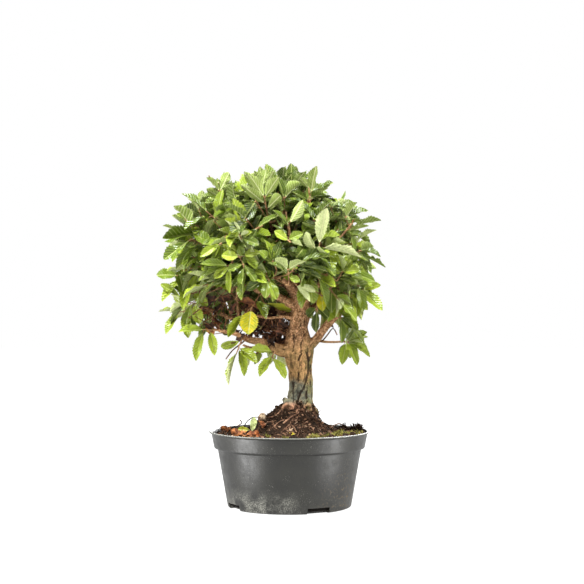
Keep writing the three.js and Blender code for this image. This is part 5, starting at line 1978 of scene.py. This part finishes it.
# The dead bark's brown is darkened past its own colour: painted shade for the dark hollows of the head.
dead_twig_and_shade_material = woody("dead_bark", 0.85, 0.2, 180, (140, 96, 66), (52, 34, 25), 1200, 0.0004, 0.6)
tube_piece("dead_twigs", "bark", dead_twigs, 5, dead_twig_and_shade_material)

# %% [markdown]
# ## One piece for each packed shoot
# The twigs and leaves of one packed shoot become a light mesh of points and edges, with every leaf's
# numbers on its point, and the shoot tree turns it into a leafy piece that stands for the packed
# node.

# %% Make one piece for each packed shoot
def lay_of(lie):
    _, along, across, normal = lie
    turn = Matrix((along, across, normal)).transposed()
    return tuple(turn.to_quaternion())


def skeleton(twigs, leaves):
    points, thick, edges = [], [], []
    for route in twigs:
        first = len(points)
        points += [row[:3] for row in route]
        thick += [row[3] * MM for row in route]
        edges += [(first + k, first + k + 1) for k in range(len(route) - 1)]
    bare = len(points)
    points += [lie[0] for lie, *_ in leaves]
    made = plain_mesh("skeleton", points, edges=edges)
    rest = [0] * bare
    note(made, "thick", "FLOAT", thick + [0] * len(leaves))
    note(made, "leafy", "BOOLEAN", rest + [True] * len(leaves))
    note(made, "lay", "QUATERNION", [(1, 0, 0, 0)] * bare + [lay_of(leaf[0]) for leaf in leaves])
    note(made, "size", "FLOAT_VECTOR", [(1, 1, 1)] * bare + [
        ((length + PETIOLE) * MM, width * MM, (length + PETIOLE) * MM) for _, length, width, *_ in leaves])
    for column, (name, kind) in enumerate((("variant", "INT"), ("age", "FLOAT"), ("turned", "FLOAT")), 3):
        note(made, name, kind, rest + [leaf[column] for leaf in leaves])
    return made


def leafy(twigs, leaves, upper=upper_material, under=under_material, twig_scale=1.0):
    """Twigs and leaves as one plain mesh."""
    return run_tree(shoot_tree, skeleton(twigs, leaves), Leaf_Shapes=leaf_shapes, Upper=upper, Under=under,
                    Bark=twig_material, Leaf_Scale=1.0, Twig_Scale=twig_scale)


for i in range(len(places)):
    own_twigs = [route for owner, route in growth.twigs if owner == i]
    own_leaves = [leaf[1:] for leaf in growth.leaves if leaf[0] == i]
    mesh = leafy(own_twigs, own_leaves, twig_scale=0.85)
    finish_piece(shown(mesh, f"leafy_shoot_{i + 1:02d}"), "leaf", f"spray_{i + 1:02d}")
print("the last shoot has", faces_of(mesh), "triangles")

# %% [markdown]
# ## What has fallen on the soil
# Two dead leaves lie curled where they dropped. They are leaves of the same shoot tree, turned brown
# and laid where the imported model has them.

# %% Lay the fallen leaves
SIGHT_FROM, SIGHT_TO = 72, -40
JUST_ABOVE = 0.4


def middle_of(name):
    """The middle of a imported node, in millimetres."""
    low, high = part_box(name)
    return (vec(*low) + vec(*high)) / 2 / MM


def on_soil(px, py):
    """Where the line of sight through a pixel meets the soil."""
    for depth in np.arange(SIGHT_FROM, SIGHT_TO, -1.0):
        at = off_photo(px, py, depth)
        if at[2] <= soil_top(at[0], at[1]) + JUST_ABOVE:
            return at
    return at


FALLEN_LEAVES = [("fallen_leaf_1", 10, 17, 0.78), ("fallen_leaf_2", 150, 15, 0.84)]
for name, turn_deg, length, turned_far in FALLEN_LEAVES:
    way = vec(cos(radians(turn_deg)), sin(radians(turn_deg)), 0.12)
    lie = laid(middle_of(name) - unit(way) * length / 2, unit(way), vec(0, -0.5, 0.85))
    leaf = (lie, length - PETIOLE, length * 0.62, FRESH_VARIANTS + 1, 0.5, turned_far)
    mesh = leafy([], [leaf], under=upper_material)
    finish_piece(shown(mesh, name + "_curled"), "dead_leaf", name)
print("two leaves have fallen")

# %% [markdown]
# ## Loose leaves
# Small dry leaves and a green one lie about the mound. Each is given by the pixels of its root and
# its tip. A line of sight through the root's pixel finds where it rests on the soil.

# %% Lay the loose leaves
LOOSE_LEAVES = [
    # root, tip, forward of the root, width, age, how far turned
    ((252, 433), (254, 417), 2, 6.5, 0.2, 0), ((236, 430), (221, 427), 3, 5, 0.5, 0.86),
    ((252, 430), (238, 429), 2, 6, 0.6, 0.3), ((247, 436), (231, 431), 2, 8, 0.5, 0.84),
    ((262, 436), (245, 433), 3, 8, 0.5, 0.85), ((296, 433), (288, 436), 3, 5, 0.5, 0.6),
    ((263, 428), (261, 420), 2, 6, 0.5, 0.88),
]
loose = []
for root, tip, forward, width, age, turned_far in LOOSE_LEAVES:
    base = on_soil(*root)
    end = off_photo(*tip, -base[1] + forward)
    lie = laid(base, unit(end - base), vec(0.2, -0.9, 0.4))
    variant = FRESH_VARIANTS + len(loose) % 2 if turned_far > 0.5 else 4
    loose.append((lie, norm(end - base) - PETIOLE, width, variant, age, turned_far))
mesh = leafy([], loose, upper=under_material, under=upper_material)
finish_piece(shown(mesh, "loose_leaves"), "dead_leaf")
bpy.data.collections.remove(leaf_shapes)
print(len(loose), "loose leaves lie on the soil")

# %% [markdown]
# ## The seed husk
# The husk is a round, dry shell with blunt ridges, leaning on the mound with its stalk in the earth.
# It is turned from a profile, like the pot, and the turning function swells it into ridges.

# %% Roll in the seed husk
HUSK_TURNS = 20
HUSK_LEAN_DEG = -58
HUSK_PROFILE = [(0, -4.0), (1.5, -3.9), (3.2, -2.6), (4.2, -0.6), (4.5, 0.9), (3.9, 2.6),
                (2.4, 3.7), (1.0, 4.0), (0, 3.9)]


def husk_ridges(r, z, angle):
    at = Vector((r * cos(angle), r * sin(angle), z))
    return r * (1 + 0.07 * sin(5 * angle + 0.3 * z) + 0.1 * noise.noise(at * 0.5)), z


husk_at = middle_of("seed_husk")
points, faces = turned(HUSK_PROFILE, HUSK_TURNS, husk_ridges)
lean = Matrix.Rotation(radians(HUSK_LEAN_DEG), 3, "Y")
points = [tuple(lean @ Vector(p) + Vector(husk_at)) for p in points]
husk = shown(plain_mesh("husk", points, faces), "seed_husk_ridged")
coat(husk, woody(
    "husk", 0.8, 0.2, 260, (196, 172, 142), (120, 96, 74), 900, 0.0006, 0.8, spots=(64, 46, 34)))
finish_piece(husk, "seed", "seed_husk")

STALK = [(0, 0, 0), (-6, 0, -0.5), (-11, -1, -4), (-13.5, -1, -8), (-14, -1, -12)]
husk_side = husk_at + vec(-3.6, -1, 0.6)
stalk = [[*(husk_side + vec(*by)), 0.5] for by in STALK]
tube_piece("husk_stalk", "seed", [smooth_route(stalk, 1.5)], 6, soil_material, 1.1)
print("the husk has", faces_of(husk.data), "triangles")

# %% [markdown]
# ## Bare roots
# Watering washes the earth off the finest roots on the mound. Nine that show are read off the photo.
# The others start near the trunk and wander outward, and every point of theirs lies on the soil.

# %% Lay bare the fine roots
DRAWN_ROOTS = 60
ROOT_STEPS = 5
ROOT_STEP = 2.6
LAID_ROOTS = [
    # thickness and pixels
    (0.75, [(283, 424), (290, 418), (297, 414), (303, 409)]), (0.7, [(296, 404), (299, 409), (303, 416)]),
    (0.6, [(303, 424), (311, 419), (314, 412)]), (0.5, [(272, 428), (281, 421), (288, 420)]),
    (0.55, [(296, 431), (304, 427), (314, 429)]), (0.6, [(281, 411), (275, 416), (268, 418)]),
    (0.7, [(330, 428), (338, 424), (345, 426)]), (0.6, [(222, 432), (229, 429), (236, 431)]),
    (0.6, [(238, 426), (242, 423), (240, 420)]),
]
laid_roots = []
for thick, pixels in LAID_ROOTS:
    laid_roots.append([[*(on_soil(*pixel) + thick * UP), thick] for pixel in pixels])
for i in range(DRAWN_ROOTS):
    spread = 13 + 24 * chance(i, 81) ** 0.8
    angle = 2 * pi * chance(i, 82)
    x, y = TRUNK_X + spread * cos(angle), spread * sin(angle)
    thick = 0.15 + 0.2 * chance(i, 83) ** 2
    heading = angle + 1.2 * wander(i, 84)
    route = []
    for k in range(ROOT_STEPS):
        if hypot(x, y) < SOIL_EDGE_R - 4:
            route.append([x, y, soil_top(x, y) + 0.6 + 0.8 * chance(i, k, 85), thick])
        heading += 0.7 * wander(i, k, 86)
        x, y = x + ROOT_STEP * cos(heading), y + ROOT_STEP * sin(heading)
    if len(route) > 2:
        laid_roots.append(route)
root_material = woody("bare_root", 0.85, 0.2, 150, (170, 130, 102), (88, 60, 46), 1300, 0.0003, 0.6)
root_routes = [smooth_route(route, 1.5) for route in laid_roots]
tube_piece("bare_roots", "bark", root_routes, 5, root_material)

# %% [markdown]
# ## Moss
# Moss has crept over the damp soil at the right, and a dark tuft of it stands against the rim. A
# tuft is a few blades that spread from one root. The strewing tree sets the tufts where the ground
# says that it is damp.

# %% Grow the moss
def tuft_shape(name, key):
    """Seven blades from one root, about one unit high."""
    points, faces = [], []
    for i in range(7):
        turn = 2 * pi * (i + chance(key, i, 91)) / 7
        out = vec(cos(turn), sin(turn), 0)
        side = vec(-sin(turn), cos(turn), 0)
        first = len(points)
        tip = out * (0.2 + 0.4 * chance(key, i, 92)) + UP * (0.5 + 0.5 * chance(key, i, 93))
        points += [tuple(1000 * at) for at in (side * 0.09, -side * 0.09, out * 0.12, tip)]
        a, b, c, d = range(first, first + 4)
        faces += [(a, b, c), (a, c, d), (c, b, d), (b, a, d)]
    return bpy.data.objects.new(name, plain_mesh(name, points, faces))


tufts = gathered("tufts", [tuft_shape(f"tuft_{i}", i) for i in range(3)])


def spots(*where):
    """A weight that is 1 inside any of the spots, given as x, y and radius."""
    def weight(x, y):
        ragged = 0.75 + 0.5 * noise.noise(Vector((x, y, 0)) * 0.4)
        return max(1.0 if hypot(x - a, y - b) < r * ragged else 0.0 for a, b, r in where)
    return weight


moss_material = new_material("moss", 0.9, 0.2)
colour = shades(attribute("tint"), (0.0, srgb(74, 68, 28)), (0.5, srgb(136, 132, 56)),
                (1.0, srgb(184, 176, 98)))
feed("Base Color", washed(colour, mottled(400, 0.35, 0.65), 0.5, (92, 84, 40)))
bump(mottled(1500, raw=True), 0.0003, 0.5)
damp_right = spots((52, -30, 9), (62, -26, 9), (22, -58, 8), (69, -8, 5), (44, -44, 7))
damp_front = spots((-21, -52, 6), (-6, -60, 6), (32, -50, 9), (-44, -46, 6))
at_rim = spots((67, 10, 5.5), (55, 24, 3))
strew("moss_right", tufts, damp_right, 420000, 0.0016, 0.0046, (0.3, 1.0), 21, moss_material)
strew("moss_olive", tufts, damp_front, 260000, 0.0016, 0.0050, (0.0, 0.6), 22, moss_material)
strew("rim_clump", tufts, at_rim, 900000, 0.003, 0.0100, (0.1, 0.6), 23)

# %% [markdown]
# ## Floor, light and world
# The photo was taken on white, with no shadow left on the floor. So the floor is plain and pale and
# gives off most of its own light. The world shows white behind the tree, but lights it less, so that
# the inside of the head can go dark.

# %% Put in the floor and the world
FLOOR_GLOW = 0.72
AMBIENT = 0.06
FLOOR_HALF = 4000
FLOOR_Z = -0.4


def seen_white(unseen):
    """1 where the camera looks straight at it, and less for what it lights."""
    seen = node("ShaderNodeLightPath").outputs["Is Camera Ray"]
    return plus(times(seen, 1 - unseen), unseen)


floor_corners = [(FLOOR_HALF * x, FLOOR_HALF * y, FLOOR_Z) for x, y in ((-1, -1), (1, -1), (1, 1), (-1, 1))]
floor = shown(plain_mesh("floor", floor_corners, [(0, 1, 2, 3)]), "floor", smooth=False)
floor_material = new_material("floor_white", 1.0, 0.0)
Bench.shader.inputs["Base Color"].default_value = srgb(120, 120, 120)
Bench.shader.inputs["Emission Color"].default_value = (1, 1, 1, 1)
feed("Emission Strength", seen_white(FLOOR_GLOW))
coat(floor, floor_material)
floor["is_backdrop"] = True

world = bpy.data.worlds.new("world")
world.use_nodes = True
Bench.tree = world.node_tree
sky = Bench.tree.nodes["Background"]
sky.inputs["Color"].default_value = (1, 1, 1, 1)
link(seen_white(AMBIENT), sky.inputs["Strength"])
scene.world = world
scene.view_settings.view_transform = "Standard"
print("the floor gives off", FLOOR_GLOW, "of its light")

# %% [markdown]
# ## Lamps
# Two tall lamps at the sides, one above and a weak one in front give soft light with form in it, and
# one behind rims the head. Two small strips light the pot alone and show on it only as gloss: they
# are the pale upright bands on its wall.

# %% Hang the lamps
def lamp(name, at, aim, size, watts):
    data = bpy.data.lights.new(name, "AREA")
    data.shape = "RECTANGLE"
    data.size, data.size_y = size
    data.energy = watts
    made = bpy.data.objects.new(name, data)
    made.location = at
    made.rotation_euler = (Vector(aim) - Vector(at)).to_track_quat("-Z", "Y").to_euler()
    scene.collection.objects.link(made)
    return made


lamp("left_window", (-1.3, -0.6, 0.7), (0, 0, 0.2), (0.4, 1.0), 27)
lamp("right_window", (1.3, -0.55, 0.7), (0, 0, 0.2), (0.4, 1.0), 27)
lamp("front_window", (0.1, -1.6, 0.3), (0, 0, 0.22), (0.8, 0.6), 3)
lamp("back_window", (0.3, 1.4, 0.7), (0, 0, 0.2), (1.0, 1.0), 34)
lamp("top_window", (-0.2, -0.6, 1.4), (0, 0, 0.2), (0.5, 0.5), 45).data.color = (0.94, 0.98, 1.0)
pot_only = bpy.data.collections.new("lit_by_strips")
pot_only.objects.link(pot)
for name, turn_deg, watts in (("left_strip", -69, 0.5), ("right_strip", 70, 0.28)):
    out = vec(sin(radians(turn_deg)), -cos(radians(turn_deg)), 0)
    at = out * 0.15 + vec(copysign(0.042, turn_deg), -0.06, 0.001)
    strip = lamp(name, at, at + 0.1 * UP, (0.09, 0.13), watts)
    strip.rotation_euler.z += radians(turn_deg)
    strip.visible_diffuse = False
    strip.light_linking.receiver_collection = pot_only
print(len(bpy.data.lights), "lamps")

# %% [markdown]
# ## The dressed model's box
# The box of the dressed model is measured at the end, as the box of the imported model was at the start.

# %% Measure the dressed model's box
low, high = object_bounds()
